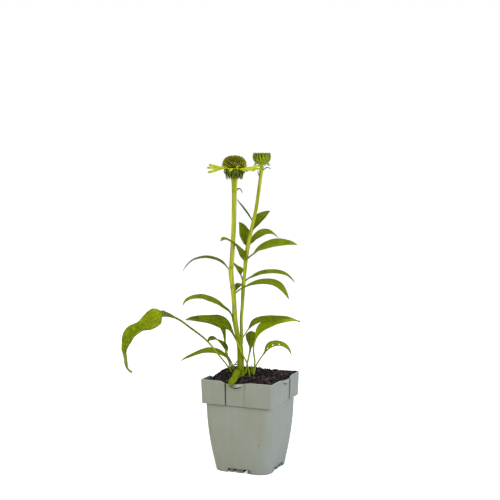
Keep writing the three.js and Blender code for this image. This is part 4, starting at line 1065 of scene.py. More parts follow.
# %% Ray material
def ray_finish():
    ray = Finish("ray yellow-green", Roughness=0.5, Specular_IOR_Level=0.2)
    _, _, share = ray.fact("leaf")
    edge, _, _ = ray.fact("face")
    fine = ray.noise(900, 3, vector=ray.place())
    lime = ray.blend(ray.span(fine, 0.3, 0.7), rgb(172, 182, 2), rgb(204, 208, 24))
    pleat = ray.span(ray.math("ABSOLUTE", ray.math("SUBTRACT", edge, 0.4)), 0.0, 0.16, 0.5, 0.0)
    colour = ray.blend(pleat, lime, rgb(140, 154, 4))
    colour = ray.blend(ray.span(share, 0.74, 1.0, 0.0, 0.7), colour, rgb(122, 132, 34))
    return ray.finished(colour, 0.5, fine, depth=0.0001, strength=0.3)


RAY = ray_finish()

# %% The rays
RAY_ROOT = (9.5, 11.6)  # out from the axis and up
RAY_BLADE = dict(
    stalk=0, width=4.3, base=2.8, fold=-12, outline=(0.18, 0.16), rows=22, columns=13, swell=0, rib_depth=0,
    pleat=0.28, notch=lambda u: 1.5 * np.abs(np.sin(1.5 * math.pi * (u + 1))) ** 0.7,
)
# Heading, length, rise of the middle, rise of the tip, roll.
RAYS = [
    (0.2, 23.4, 0.8, 4.4, 38), (19.6, 25.2, 0.4, -0.6, 34), (41.1, 21.5, 1.6, 3.6, -20),
    (59.2, 22.5, 1.2, 1.5, 14), (81.0, 21.8, 1.5, 3.4, -10), (99.4, 22.8, 0.6, 0.8, 12),
    (121.3, 21.4, 1.4, 3.9, -14), (139.5, 22.6, 0.9, 2.0, 10), (160.2, 21.9, 0.5, -0.5, -22),
    (181.5, 22.4, 1.8, 4.5, -38), (199.2, 22.9, 0.9, 1.2, -44), (221.0, 23.6, -0.6, -4.4, -40),
    (239.3, 22.0, 1.0, 2.6, -40), (261.2, 20.5, 1.8, 4.4, -26), (279.4, 20.2, 0.0, -2.8, 12),
    (299.3, 20.4, 1.9, 4.6, 26), (320.8, 21.8, -0.2, -2.4, 40), (339.4, 22.6, -0.2, -1.6, 40),
]


def ray_blade(number, heading, length, middle, tip, roll):
    leaf = {
        **RAY_BLADE, "heading": heading, "roll": roll, "seed": number,
        "rib": [
            (0, 0), (length * 0.35, middle * 0.5 + 0.3),
            (length * 0.7, mix(middle, tip, 0.5)), (length, tip),
        ],
    }
    turn = math.radians(heading)
    foot = (RAY_ROOT[0] * math.cos(turn), RAY_ROOT[0] * math.sin(turn), RAY_ROOT[1])
    points, facts = blade_points(leaf, foot)
    return skin("ray", on_flower(points), facts)


collar = turned([(0, 10.3), (8.6, 10.3), (11, 10.8), (11.4, 11.6), (11, 12.2), (8.6, 12.3), (0, 12.3)])
rays = [skin("rays", on_flower(collar))] + [ray_blade(k, *ray) for k, ray in enumerate(RAYS)]
finish(join("rays", rays), RAY, "ray", "flower_rays")

# %% [markdown]
# The cone is a dome set all over with stiff scales. They follow the golden angle, the turn from one
# to the next that packs them most evenly, and that draws the crossing spirals one sees in a
# sunflower. Low on the cone the first florets open between the scales.

# %% Cone materials
def cone_finish(name, root, middle, tip):
    scale = Finish(name, Roughness=0.45, Specular_IOR_Level=0.2)
    # Each copy is darker at its root and lighter at its tip: painted shade in the gaps between copies and a
    # painted highlight on the tips
    height, tone, _ = scale.fact("copy")
    colour = scale.blend(scale.span(height, 0.2, 0.75), root, middle)
    colour = scale.blend(scale.span(height, 0.7, 1.0), colour, tip)
    shade = scale.blend(tone, rgb(200, 200, 190), rgb(255, 255, 255))
    return scale.finished(scale.blend(1.0, colour, shade, kind="MULTIPLY"), 0.45)


SCALE = cone_finish("cone scales", rgb(72, 70, 2), rgb(144, 140, 2), rgb(162, 154, 14))
FLORET = cone_finish("open florets", rgb(120, 128, 10), rgb(190, 192, 30), rgb(214, 210, 60))

# %% The cone
CONE_WAIST = 15.5  # its height up the head's axis, where it is widest
CONE_SIZE = (12.8, 9.6)
GOLDEN_ANGLE = math.pi * (3 - math.sqrt(5))
SCALES = 320
FLATTER = 0.83  # below 1 the dome is squarer than an ellipse


def spread_on_cone(numbers, lift, sunk):
    """Feet and directions on the dome for scales at the given lifts, 1 at the top, 0 at the waist."""
    angle = numbers * GOLDEN_ANGLE
    level = np.sqrt(1 - lift**2)
    wide, high = CONE_SIZE
    round_ = np.stack([np.cos(angle), np.sin(angle)], axis=1)
    rise = np.sign(lift) * np.abs(lift) ** FLATTER
    reach = wide * sunk * level**FLATTER
    feet = np.column_stack([round_ * reach[:, None], CONE_WAIST + high * sunk * rise])
    return feet, np.column_stack([round_ * level[:, None], lift + 0.35])


def scale_lift(numbers):
    """How high on the dome each scale stands: 1 at the top, 0 at the waist and less below it."""
    return 1 - 1.22 * (numbers + 0.5) / SCALES


def flower_places(feet, ways, width, length, spins):
    return standing(on_flower(feet), on_flower(ways) - on_flower([0, 0, 0]), width, length, spins)


def scale_shape():
    shape = turned([(0, 0), (0.42, 0), (0.5, 0.3), (0.36, 0.65), (0.14, 0.95), (0, 1)], around=6, rows=7)
    return skin("scale", shape / MM)


numbers = np.arange(SCALES)
lift = scale_lift(numbers)
feet, ways = spread_on_cone(numbers, lift, 0.84)
places = flower_places(feet, ways, 1.6, 3.9, numbers * 0.7)
scales = scatter("scales", scale_shape(), places, seed=3)
dome = [(0, 12.2), (9.8, 12.2), (12.2, 13.6), (12.7, 15.6), (12, 19), (9.8, 22), (5.8, 23.6), (0, 24)]
finish(join("cone", [skin("dome", on_flower(turned(dome))), scales]), SCALE, "cone", "flower_cone")

low = numbers[(lift < 0.16) & (numbers % 3 > 0)] + 0.5
feet, ways = spread_on_cone(low, scale_lift(low), 0.9)
ways[:, 2] += 0.25
places = flower_places(feet, ways, 0.9, 3.4, low)
finish(scatter("cone_florets", spike(6, 0.45), places, seed=4), FLORET, "cone")

# %% [markdown]
# ## The bud
#
# The side stem ends in a bud that has not opened. Four rows of narrow bracts wrap it, the inner three
# upright and the outermost bent back, and its flat top is packed with closed florets.

# %% The bud
BUD_ROWS = [
    (18, 6.0, 8.2, 2.4, [(0, 0), (1.4, 3), (2.3, 6), (2.7, 9.5)]),
    (16, 4.6, 7.6, 2.4, [(0, 0), (2.6, 2.2), (3.6, 5.6), (4.0, 10.3)]),
    (14, 3.2, 6.4, 2.3, [(0, 0), (3.2, 1.6), (4.9, 4.6), (5.4, 9.4)]),
    (14, 2.6, 5.6, 1.9, [(0, 0), (2.8, 0.5), (4.4, -0.6), (4.9, -3.0)]),
]


def on_bud(points):
    return on_head(points, SIDE_STEM)


cup = turned([(0, 0.45), (2, 0.45), (5.6, 2.2), (8.1, 4.8), (8.8, 7.6), (8.6, 9), (0, 9)])
bud = join("bud_cup", [skin("cup", on_bud(cup)), *bract_rows("bud_bract", BUD_ROWS, 47, on_bud, uneven=0.03)])
finish(bud, BUD_GREEN, "bud", "bud_bracts")
finish(bristles("bud_hairs", bud, 1200, 0.6, 0.07, 8), HAIR, "bud")

BUD_FLORETS = 110
numbers = np.arange(BUD_FLORETS)
reach = 7.4 * np.sqrt((numbers + 0.5) / BUD_FLORETS)
feet = np.column_stack([
    reach * np.cos(numbers * GOLDEN_ANGLE), reach * np.sin(numbers * GOLDEN_ANGLE), np.full(BUD_FLORETS, 11.6)
])
ways = feet * [0.03, 0.03, 0] + [0, 0, 1]
florets = scatter("florets", spike(6, 0.2), standing(on_bud(feet), ways, 1.35, 3.4, numbers), seed=9)
disc = turned([(0, 8.9), (7.8, 8.9), (8.4, 11), (7.6, 12.7), (0, 13)])
BUD_FLORET = cone_finish("closed florets", rgb(96, 114, 4), rgb(148, 164, 10), rgb(176, 188, 34))
finish(join("bud_top", [skin("disc", on_bud(disc)), florets]), BUD_FLORET, "bud", "bud_disc")


# %% [markdown]
# ## The pot
#
# The pot is one thin moulding. Its wall bows out as it rises and its corners tighten, then comes the
# collar, a wider band that stiffens the rim. Rings of points laid up the wall give that form better
# than a lathe or a scaled cube could, because both the width and the corner radius change. The
# hollow, the foot and the details of the collar are then cut out of the filled form, as the steel of
# the mould would do.

# %% Pot sizes in millimetres
POT_HEIGHT = 110
COLLAR_FOOT = 81.6
COLLAR_FOOT_HALF = 44.5
COLLAR_CORNER = 3.2
WALL, COLLAR_WALL, FOOT_WALL = 1.3, 1.8, 2.2
FLOOR_UNDERSIDE, FLOOR_TOP = 4.6, 6
EDGE = 0.35  # how far the collar's edges are rounded
GAP = 0.3
# Height, half width and corner radius, up the wall.
WALL_LEVELS = [
    (0, 34.7, 15.5), (10, 36.2, 14.4), (24, 38.2, 13), (40, 40, 11.6), (60, 41.4, 9.8), (81.6, 41.8, 8),
]
INSIDE_LEVELS = [
    (FLOOR_TOP, 35.6 - WALL, 13.5),
    *[(z, half - WALL, corner - WALL) for z, half, corner in WALL_LEVELS[2:]],
    (COLLAR_FOOT + 2.5, COLLAR_FOOT_HALF - COLLAR_WALL, COLLAR_CORNER),
    (POT_HEIGHT - 0.6, RIM_HALF - COLLAR_WALL, COLLAR_CORNER - 0.8),
]


# %% Square rings
def square_ring(half, corner, height, corner_steps=9, side_steps=8):
    """A level square with round corners, counter-clockwise from above."""
    angle = np.linspace(0, math.pi / 2, corner_steps + 1)
    straight = half - corner
    bend = np.column_stack([straight + corner * np.cos(angle), straight + corner * np.sin(angle)])
    along = straight * (1 - 2 * np.arange(1, side_steps) / side_steps)
    quarter = np.vstack([bend, np.column_stack([along, np.full(side_steps - 1, half)])])
    turns = [np.array([[c, s], [-s, c]]) for c, s in ((1, 0), (0, 1), (-1, 0), (0, -1))]
    flat = np.vstack([quarter @ turn for turn in turns])
    return np.column_stack([flat, np.full(len(flat), height)])


def filled(name, levels, **steps):
    """A solid through square rings, closed to a point in the middle of each end."""
    rings = [square_ring(half, corner, z, **steps) for z, half, corner in levels]
    ends = [np.tile([[0, 0, levels[k][0]]], (len(rings[0]), 1)) for k in (0, -1)]
    return skin(name, np.array([ends[0], *rings, ends[1]]))


def rounded_edge(half, height, inward):
    """Three rings that round an outer edge: inward is 1 where the form starts and -1 where it ends."""
    arc = np.radians([0, 45, 90])[::inward]
    return [
        (height + inward * EDGE * (1 - math.cos(a)), half - EDGE * (1 - math.sin(a)), COLLAR_CORNER)
        for a in arc
    ]


wall, _, _ = line(WALL_LEVELS, [*np.linspace(0, 0.975, 22), 0.99, 1])
collar_band = rounded_edge(COLLAR_FOOT_HALF, COLLAR_FOOT, 1) + rounded_edge(RIM_HALF, POT_HEIGHT, -1)
pot = filled("pot_skin", [*map(tuple, wall), *collar_band])
print("pot blank:", triangles(pot), "triangles")

# %% [markdown]
# A prism is an outline pushed along a straight line. Its outline is drawn as a filled circle whose
# corners are then laid where they belong, and extruded. Four equal cutters, one for each side of the
# pot, are joined and cut at once with a Boolean.


# %% Prisms and cuts
def prism(name, first, second, run, outline, low, high):
    first, second, run = (np.array([*way, 0.0])[:3] for way in (first, second, run))
    bpy.ops.object.select_all(action="DESELECT")
    bpy.ops.mesh.primitive_circle_add(vertices=len(outline), fill_type="NGON")
    piece = bpy.context.active_object
    piece.name = name
    corners = [a * first + b * second + low * run for a, b in outline]
    piece.data.vertices.foreach_set("co", np.ravel(corners) * MM)
    bpy.ops.object.mode_set(mode="EDIT")
    bpy.ops.mesh.select_all(action="SELECT")
    bpy.ops.mesh.extrude_region_move(TRANSFORM_OT_translate={"value": tuple(run * (high - low) * MM)})
    bpy.ops.mesh.select_all(action="SELECT")
    bpy.ops.mesh.normals_make_consistent(inside=False)
    bpy.ops.object.mode_set(mode="OBJECT")
    return piece


def cut(piece, cutters, operation="DIFFERENCE"):
    """Cuts joined tools from a piece, or adds them to it, and clears them away."""
    tool = join("tool", cutters)
    modify(piece, "BOOLEAN", object=tool, operation=operation, solver="EXACT")
    remove(tool)


def drum(radius, x, y, low, high, sides):
    bpy.ops.object.select_all(action="DESELECT")
    bpy.ops.mesh.primitive_cylinder_add(
        vertices=sides, radius=radius * MM, depth=(high - low) * MM,
        location=(x * MM, y * MM, (low + high) / 2 * MM),
    )
    bpy.ops.object.transform_apply(location=True)
    return bpy.context.active_object


# %% [markdown]
# On each side of the collar there is a shallow sunken pocket with a narrow groove beside it, the rim
# dips above them, and a crescent lip in the pocket gives the fingers a hold. The foot ring has a low
# notch on each side that lets water away, with a comb of short ribs behind it, which thin webs tie
# into two groups. The webs are dark sheets put behind the ribs for painted shade, so that the gaps
# in the comb look dark.

# %% The tools for one side of the pot
SIDES = [((0, -1), (1, 0)), ((1, 0), (0, -1)), ((0, 1), (-1, 0)), ((-1, 0), (0, 1))]
UP = (0, 0, 1)
POCKET = dict(start=-13, end=10.2, ramp=11.8, depth=1)
GROOVE = dict(start=-14.5, end=-12.9, depth=1.6, heel=3.2)
RIM_DIP = [
    (-20, 110), (-17.5, 109.3), (-14, 107.2), (-7, 107.1), (-1, 107.4), (9, 108.6), (14, 109.5), (20, 110),
]
NOTCH = dict(half=15, height=5.3)
PAST = 4


def collar_face(z):
    return mix(COLLAR_FOOT_HALF, RIM_HALF, (z - COLLAR_FOOT) / (POT_HEIGHT - COLLAR_FOOT))


def skin_deep(depth):
    """The outline of a cut that follows the collar's leaning face."""
    foot, rim = COLLAR_FOOT - 1, POT_HEIGHT + 1
    face = (collar_face(foot), collar_face(rim))
    return [(face[0] - depth, foot), (face[0] + PAST, foot), (face[1] + PAST, rim), (face[1] - depth, rim)]


def pocket_tool(out, along):
    return prism("pocket", out, UP, along, skin_deep(POCKET["depth"]), POCKET["start"], POCKET["end"])


def groove_tool(out, along):
    return prism("groove", out, UP, along, skin_deep(GROOVE["depth"]), GROOVE["start"], GROOVE["end"])


def heel_tool(out, along):
    """Rounds the lower corner of the collar panel beside the groove."""
    heel, edge = GROOVE["heel"], GROOVE["start"] + 0.01
    centre = np.array([edge - heel, COLLAR_FOOT + heel])
    turns = np.linspace(0, -math.pi / 2, 7)
    arc = [tuple(centre + heel * np.array([math.cos(turn), math.sin(turn)])) for turn in turns]
    outline = [*arc, (edge - heel, COLLAR_FOOT - 1), (edge, COLLAR_FOOT - 1)]
    face = COLLAR_FOOT_HALF
    return prism("heel", along, UP, out, outline, face - POCKET["depth"], face + PAST)


def ramp_tool(out, along):
    face = collar_face((COLLAR_FOOT + POT_HEIGHT) / 2) - POCKET["depth"]
    start, end = POCKET["end"] - 0.01, POCKET["ramp"]
    plan = [(start, RIM_HALF + PAST), (start, face), (end, RIM_HALF + 0.1), (end, RIM_HALF + PAST)]
    return prism("ramp", along, out, UP, plan, COLLAR_FOOT - 1, POT_HEIGHT + 1)


def dip_tool(out, along):
    outline = [*RIM_DIP, (20, POT_HEIGHT + 2), (-20, POT_HEIGHT + 2)]
    return prism("dip", along, UP, out, outline, RIM_HALF - PAST, RIM_HALF + PAST)


def notch_tool(out, along):
    half, height = NOTCH["half"], NOTCH["height"]
    arch = [(-half, -1), (half, -1), (half, height - 1.5), (half - 1.5, height), (1.5 - half, height),
            (-half, height - 1.5)]
    middle = WALL_LEVELS[0][1]
    return prism("notch", along, UP, out, arch, middle - PAST, middle + PAST)


# %% Ribs and lips
COMB = dict(
    places=(-12, -10.3, -8.6, -3.4, -1.7, 0, 1.7, 3.4, 10.4, 12.2, 14), width=1.25, length=14,
    webs=((-15.3, 4.1), (9.7, 15.3)), web=(2.2, 1.2), behind=0.6, clearance=0.4,
)
LIP = dict(start=-11.8, end=9, top=107, thin=0.25, drop=2.8, root=0.8, stand=1.87)
SLOT = dict(height=1.9, depth=0.5)  # the undercut below the lip


def lip_drop(share):
    """How far the lip comes down at a share of its width."""
    return LIP["thin"] + LIP["drop"] * math.sin(share * math.pi)


def slot_tool(out, along):
    """The crescent that is undercut below the lip, where the pot is darkened with painted shade."""
    shares = np.linspace(0.06, 0.94, 15)
    across = [mix(LIP["start"], LIP["end"], share) for share in shares]
    upper = [(a, LIP["top"] - lip_drop(share)) for a, share in zip(across, shares)]
    lower = [
        (a, z - SLOT["height"] * math.sin(share * math.pi) - 0.1) for (a, z), share in zip(upper, shares)
    ]
    face = collar_face(LIP["top"] - LIP["drop"]) - POCKET["depth"]
    return prism("slot", along, UP, out, [*upper, *lower[::-1]], face - SLOT["depth"], face + PAST)


def comb_block(out, along, outer, thick, low, start, end):
    """A block under the floor, from an outer face inwards."""
    inner, high = outer - thick, NOTCH["height"] + 0.3
    outline = [(inner, low), (outer, low), (outer, high), (inner, high)]
    return prism("block", out, UP, along, outline, start, end)


def comb_ribs(out, along):
    outer, half = WALL_LEVELS[0][1] - COMB["behind"], COMB["width"] / 2
    return [
        comb_block(out, along, outer, COMB["length"], COMB["clearance"], at - half, at + half)
        for at in COMB["places"]
    ]


# Dark sheets behind the comb's ribs: painted shade in the notch
def shade_webs(out, along):
    outer = WALL_LEVELS[0][1] - COMB["behind"] - COMB["web"][0]
    return [
        comb_block(out, along, outer, COMB["web"][1], 2 * COMB["clearance"], *ends)
        for ends in COMB["webs"]
    ]


def lip_tool(out, along):
    """The crescent lip, a skin of small four-cornered sections that stand out in the middle."""
    out, along = np.array([*out, 0.0]), np.array([*along, 0.0])
    face = collar_face(LIP["top"]) - POCKET["depth"]
    sections = []
    for share in np.linspace(0, 1, 29):
        deep = lip_drop(share)
        stand = LIP["thin"] + LIP["stand"] * math.sin(share * math.pi)
        section = [
            (face - LIP["root"], LIP["top"]),
            (face + LIP["thin"] / 2, LIP["top"]),
            (face + stand, LIP["top"] - deep),
            (face + stand - 0.15, LIP["top"] - deep - 0.25),
            (face - LIP["root"], LIP["top"] - deep - LIP["root"] / 2),
        ]
        place = along * mix(LIP["start"], LIP["end"], share)
        sections.append([place + out * away + np.array([0, 0, z]) for away, z in section])
    sections = np.array(sections)
    ends = [np.repeat(sections[[k]].mean(axis=1, keepdims=True), 5, axis=1) for k in (0, -1)]
    return skin("lip", np.concatenate([ends[0], sections, ends[1]]))


# %% Mould the pot
BOSS_RADIUS = 9
DRAIN_RADIUS, DRAIN_PLACES = 4, (-17, 17)

mouth = (RIM_HALF - COLLAR_WALL + 0.3, 2.6)
inside = [*INSIDE_LEVELS, (POT_HEIGHT, *mouth), (POT_HEIGHT + 1, *mouth)]
cut(pot, [filled("inside", inside)])
foot_half, foot_corner = WALL_LEVELS[0][1] - FOOT_WALL, WALL_LEVELS[0][2] - FOOT_WALL
under = [(-1, foot_half - 0.2, foot_corner), (FLOOR_UNDERSIDE, foot_half + 0.4, foot_corner)]
cut(pot, [filled("under", under)])
cut(pot, [drum(BOSS_RADIUS, 0, 0, 0, FLOOR_TOP - 0.2, 48)], "UNION")
for tool in (pocket_tool, groove_tool, heel_tool, ramp_tool, dip_tool, notch_tool, slot_tool):
    cut(pot, [tool(*side) for side in SIDES])
for blocks in (shade_webs, comb_ribs):
    cut(pot, [block for side in SIDES for block in blocks(*side)], "UNION")
cut(pot, [lip_tool(*side) for side in SIDES], "UNION")
cut(pot, [
    drum(DRAIN_RADIUS, x, y, FLOOR_UNDERSIDE - 1, FLOOR_TOP + 1, 24)
    for x in DRAIN_PLACES for y in DRAIN_PLACES
])
print("pot:", triangles(pot), "triangles before its edges are rounded")

# %% [markdown]
# The moulding is a matt grey-green, a little uneven, and faintly streaked up the wall where the
# plastic flowed into the mould. A narrow bevel takes the sharpness off every cut edge.

# %% Pot material and edges
SPECK = (0.0266, -0.0405, 0.0368)  # a dark fleck in the front of the wall


def pot_finish():
    pot = Finish("grey-green plastic", Roughness=0.46, Specular_IOR_Level=0.3)
    cloud = pot.blend(pot.span(pot.noise(28, 3), 0.3, 0.7), rgb(145, 147, 121), rgb(149, 151, 128))
    streaks = pot.noise(160, 3, vector=pot.place((1, 1, 0.05)))
    colour = pot.blend(pot.span(streaks, 0.45, 0.75, 0.0, 0.22), cloud, rgb(160, 164, 150))
    dust = pot.span(pot.noise(700, 2), 0.68, 0.78, 0.0, 0.25)
    colour = pot.blend(dust, colour, rgb(116, 116, 98))
    # Painted shade on the inner walls of the pot
    inside, painted_shade, _ = pot.fact("pot_shade")
    colour = pot.blend(pot.math("MULTIPLY", inside, 0.7), colour, rgb(52, 50, 42))
    # Painted shade in the groove, under the collar, below the lip and in the notch comb
    colour = pot.blend(pot.math("MULTIPLY", painted_shade, 0.9), colour, rgb(62, 64, 56))
    # Faces that look upward are lightened: a painted highlight along the rim and the top edges
    _, _, upward = pot.split(pot.node("NewGeometry", {}, output="Normal"))
    top_highlight = pot.math("MULTIPLY", pot.span(upward, 0.35, 0.9), pot.math("SUBTRACT", 1.0, inside))
    colour = pot.blend(pot.math("MULTIPLY", top_highlight, 0.6), colour, rgb(206, 208, 196))
    colour = pot.blend(pot.span(pot.away_from(SPECK), 0.0006, 0.0015, 0.9, 0.0), colour, rgb(76, 76, 62))
    return pot.finished(colour, pot.span(streaks, 0.3, 0.7, 0.42, 0.52), pot.noise(1800, 2), 0.00004, 0.25)


def paint_pot_shade(piece):
    """Notes on every point how far it is inside the pot and how much painted shade it gets: in the groove,
    under the collar, below the lip and in the notch comb.
    """
    x, y, z = np.array([v.co for v in piece.data.vertices]).T / MM
    reach = np.maximum(np.abs(x), np.abs(y))
    along = np.where(np.abs(x) > np.abs(y), -np.sign(x) * y, np.sign(y) * -x)
    depth = collar_face(z) - reach
    # Points inside the pot, whose walls get painted shade
    inside = (depth > COLLAR_WALL - 0.15) & (z > COLLAR_FOOT + 3)
    # Painted shade in the groove beside the pocket
    near_groove = bell(along - (GROOVE["start"] + GROOVE["end"]) / 2, 1.1) > 0.4
    painted_shade = smooth(depth, 1.05, 1.35) * near_groove * (z > COLLAR_FOOT - 0.5) * ~inside
    # Painted shadow under the collar's foot
    under = smooth(z, COLLAR_FOOT - 1.6, COLLAR_FOOT - 0.2) * (z < COLLAR_FOOT + 0.2) * (depth > 1.9)
    # Painted shade in the slot below the lip
    in_slot = (depth > POCKET["depth"] + 0.3) & (np.abs(z - 103) < 2.6)
    below_lip = in_slot & (along > LIP["start"]) & (along < LIP["end"])
    # Painted shade on the comb's ribs and on the webs behind them
    in_notch = (z < NOTCH["height"] + 0.4) & (np.abs(along) < NOTCH["half"] + 0.3)
    behind = WALL_LEVELS[0][1] - reach
    comb = in_notch * (0.4 * (behind > COMB["behind"] / 2) + 0.6 * (behind > COMB["behind"] + 0.5))
    painted_shade = np.maximum.reduce([painted_shade, 0.8 * under, 1.0 * (below_lip & ~inside), comb])
    note(piece.data, "pot_shade", np.stack([inside, painted_shade, 0 * x], axis=1))


POT = pot_finish()
modify(pot, "BEVEL", width=0.3 * MM, segments=2, limit_method="ANGLE", angle_limit=math.radians(40))
paint_pot_shade(pot)
finish(pot, POT, "pot", "pot", degrees=35)

# %% [markdown]
# ## The soil
#
# Potting compost is dark peat with crumbs, chips of bark and pale fibres in it. The body is a skin
# whose top is roughened with fractal noise, and the bits on it are scattered copies. The body follows
# the pot's inside with a small gap.

# %% Soil materials
PATCH = (0.026, 0.031, 0.109)  # a brown patch on the soil, in metres


def soil_finish():
    soil = Finish("dark compost", Roughness=0.9, Specular_IOR_Level=0.15)
    base = soil.blend(soil.span(soil.noise(300, 5, 0.7), 0.38, 0.72), rgb(9, 7, 6), rgb(44, 34, 29))
    speck = soil.span(soil.noise(1500, 2), 0.66, 0.74, 0.0, 0.6)
    colour = soil.blend(speck, base, rgb(132, 108, 84))
    near = soil.span(soil.away_from(PATCH), 0.003, 0.011, 1.0, 0.0)
    patch = soil.math("MULTIPLY", near, soil.span(soil.noise(500, 3), 0.4, 0.6))
    colour = soil.blend(patch, colour, rgb(128, 92, 62))
    return soil.finished(colour, 0.9, soil.noise(1300, 5, 0.8), depth=0.0005, strength=0.8)


def bits_finish(name, dark, light, rough=0.85):
    """Scattered bits, each with a tone of its own."""
    bits = Finish(name, Roughness=rough, Specular_IOR_Level=0.12)
    _, tone, _ = bits.fact("copy")
    grain = bits.noise(1600, 3)
    patch = bits.span(bits.noise(55, 2), 0.38, 0.62, 0.35, 1.15)  # some stretches are damp and dark
    share = bits.math("MULTIPLY", bits.math("POWER", tone, 3), bits.math("ADD", grain, 0.5), clamp=True)
    share = bits.math("MULTIPLY", share, patch, clamp=True)
    return bits.finished(bits.blend(share, dark, light), rough, grain, depth=0.0002, strength=0.6)


SOIL_DARK = soil_finish()
CRUMB = bits_finish("crumbs", rgb(9, 7, 6), rgb(122, 102, 92))
BARK = bits_finish("bark chips", rgb(26, 19, 15), rgb(140, 112, 92))
STRAW = bits_finish("pale fibres", rgb(110, 88, 66), rgb(190, 168, 138))

# %% The body of the soil
SOIL_STEPS = dict(corner_steps=8, side_steps=64)
SOIL_RINGS = 56


def roughness(points):
    """Fractal noise over the soil, in millimetres."""
    coarse = [noise.fractal(Vector(p) * 0.33, 0.7, 2.1, 5) for p in points]
    fine = [noise.noise(Vector(p) * 1.3) for p in points]
    return 0.85 * np.array(coarse) + 0.35 * np.array(fine)


edge = square_ring(RIM_HALF - COLLAR_WALL - 2 * GAP, COLLAR_CORNER - 0.8, 0, **SOIL_STEPS)
skirt = [
    square_ring(half - GAP, corner, z + GAP * (level == 0), **SOIL_STEPS)
    for level, (z, half, corner) in enumerate(INSIDE_LEVELS[:-1])
]
top = []
for share in np.linspace(1, 0, SOIL_RINGS):
    ring = edge * share
    ring[:, 2] = soil_height(ring[:, 0], ring[:, 1])
    ring[:, 2] += roughness(ring) * smooth(1.02 - share, 0, 0.06)
    top.append(ring)
top[-1][:] = top[-1].mean(axis=0)
foot = np.tile([[0, 0, skirt[0][0, 2]]], (len(edge), 1))
finish(skin("soil_body", np.array([foot, *skirt, *top])), SOIL_DARK, "soil", "soil", degrees=80)

# %% [markdown]
# Crumbs are low-sided balls, chips are blunt wedges that lie flat, and fibres are thin bent rods.


# %% Bits on the soil
def lump(seed):
    """A low-sided ball, dented."""
    bpy.ops.object.select_all(action="DESELECT")
    bpy.ops.mesh.primitive_ico_sphere_add(subdivisions=1, radius=0.5)
    piece = bpy.context.active_object
    bpy.ops.object.mode_set(mode="EDIT")
    bpy.ops.mesh.select_all(action="SELECT")
    bpy.ops.transform.vertex_random(offset=0.16, seed=seed)
    bpy.ops.object.mode_set(mode="OBJECT")
    return piece


def rod():
    """A thin bent rod, one unit long."""
    t = np.linspace(0, 1, 7)
    angle = np.linspace(0, math.tau, 4, endpoint=False)
    centre = np.column_stack([2.4 * np.sin(math.pi * t), 1.2 * np.sin(2 * math.pi * t), t])
    around = np.stack([np.cos(angle), np.sin(angle), 0 * angle], axis=1) * 0.5
    rings = centre[:, None] + around
    rings[[0, -1]] = centre[[0, -1], None]
    return skin("rod", rings / MM)


def strewn(name, count, seed, master, widths, lengths, material, lying=0.0, lift=0.0, where=None):
    """Copies strewn over the soil; the more they lie, the flatter."""
    draw = np.random.default_rng(seed)
    spot = draw.uniform(-1, 1, (count, 2)) * (RIM_HALF - COLLAR_WALL - 1.6)
    if where is not None:
        spot = np.array(where[:2]) + draw.normal(size=(count, 2)) * where[2]
    spot = np.clip(spot, -42, 42)
    lengths = draw.uniform(*lengths, count)
    ways = draw.normal(size=(count, 3)) * [1, 1, 1 - lying] + [0, 0, 0.02]
    height = soil_height(spot[:, 0], spot[:, 1]) + lift + draw.uniform(-0.3, 0.3, count)
    feet = np.column_stack([spot, height])
    feet = feet - unit(ways) * (lengths * 0.5 * lying)[:, None]
    places = standing(feet, ways, draw.uniform(*widths, count), lengths, draw.uniform(0, math.tau, count))
    return finish(scatter(name, master, places, seed), material, "soil", degrees=30)


strewn("crumbs_fine", 1500, 21, lump(1), (0.5, 1.3), (0.5, 1.2), CRUMB, lift=0.25)
strewn("crumbs_coarse", 420, 22, lump(5), (1.3, 2.8), (1.1, 2.2), CRUMB, lift=0.3)
strewn("bark", 260, 23, spike(5, 0.28), (0.7, 1.7), (1.6, 4.6), BARK, lying=0.85, lift=0.5)
strewn("fibres", 150, 24, rod(), (0.16, 0.28), (2.5, 6.5), STRAW, lying=0.9, lift=0.7)
strewn("husks", 90, 25, lump(9), (0.5, 1.0), (0.4, 0.9), STRAW, lift=0.6)
strewn("corner_crumbs", 60, 27, lump(3), (1.4, 2.8), (1.2, 2.2), CRUMB, lift=0.4, where=(39, 38, 2.4))
strewn("rim_crumbs", 14, 28, lump(7), (1.2, 2.2), (1.2, 2), CRUMB, lift=0.9, where=(15.3, 41, 1.4))
strewn(
    "patch_fibres", 120, 26, rod(), (0.16, 0.28), (1.6, 4.0), BARK, lying=0.7, lift=0.7, where=(26, 31, 4.2),
)


# %% [markdown]
# ## The studio
#
# A pale floor in an even bright room, two large soft lamps and a soft box overhead, as for a plant
# catalogue. What the camera sees of the room and the floor is nearly white, yet they light the plant
# less than white walls would, or its greens would wash out. The Light Path node tells the two apart.

# %% Lamps and a bright room
ROOM = dict(seen=1.0, lights=0.5)
FLOOR_GLOW = 0.56


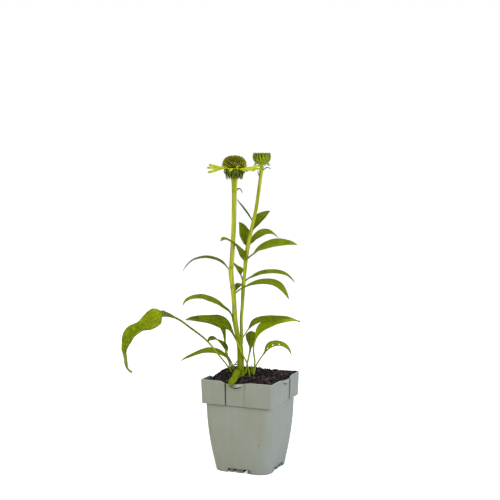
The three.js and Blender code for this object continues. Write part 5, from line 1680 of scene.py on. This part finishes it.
def lamp(name, place, aim, size, watts, colour):
    light = bpy.data.lights.new(name, "AREA")
    light.size = size
    light.energy = watts
    light.color = colour
    lamp_object = bpy.data.objects.new(name, light)
    bpy.context.scene.collection.objects.link(lamp_object)
    lamp_object.location = place
    lamp_object.rotation_euler = (Vector(aim) - Vector(place)).to_track_quat("-Z", "Y").to_euler()


def for_the_eye(tree, seen, otherwise):
    """A number that is one thing to the eye and another to the light that bounces about."""
    path = tree.nodes.new("ShaderNodeLightPath")
    choice = tree.nodes.new("ShaderNodeMapRange")
    choice.inputs["To Min"].default_value = otherwise
    choice.inputs["To Max"].default_value = seen
    tree.links.new(path.outputs["Is Camera Ray"], choice.inputs["Value"])
    return choice.outputs[0]


world = bpy.data.worlds.new("bright room")
bpy.context.scene.world = world
world.use_nodes = True
room = world.node_tree.nodes["Background"]
room.inputs["Color"].default_value = (1, 1, 1, 1)
world.node_tree.links.new(for_the_eye(world.node_tree, ROOM["seen"], ROOM["lights"]), room.inputs["Strength"])
middle = (0, 0, 0.19)
lamp("key", (-0.75, -1.0, 1.3), middle, 0.9, 8, (1, 0.97, 0.88))
lamp("fill", (1.3, -0.55, 0.8), middle, 0.9, 20, (0.48, 0.58, 1))
lamp("overhead", (-0.1, 0.1, 1.5), middle, 1.0, 6, (1, 1, 1))

# %% Floor and camera
CAMERA = dict(place=(0.4966, -1.2014, 0.375), tilt=84.92, turn=22.5, lens=79.776, sensor=36)

bpy.ops.object.select_all(action="DESELECT")
bpy.ops.mesh.primitive_plane_add(size=12, location=(0, 0, 0))
floor = bpy.context.active_object
floor.name = "floor"
pale = Finish("pale floor", Base_Color=rgb(244, 244, 244), Roughness=0.9, Specular_IOR_Level=0.1)
pale.shader.inputs["Emission Color"].default_value = (1, 1, 1, 1)
pale.wire(pale.shader.inputs["Emission Strength"], for_the_eye(pale.tree, FLOOR_GLOW, 0))
floor.data.materials.append(pale.material)

bpy.context.scene.view_settings.view_transform = "Standard"
camera = bpy.data.objects.new("camera", bpy.data.cameras.new("camera"))
bpy.context.scene.collection.objects.link(camera)
bpy.context.scene.camera = camera
camera.data.sensor_width = CAMERA["sensor"]
camera.data.lens = CAMERA["lens"]
camera.location = CAMERA["place"]
camera.rotation_euler = (math.radians(CAMERA["tilt"]), 0, math.radians(CAMERA["turn"]))
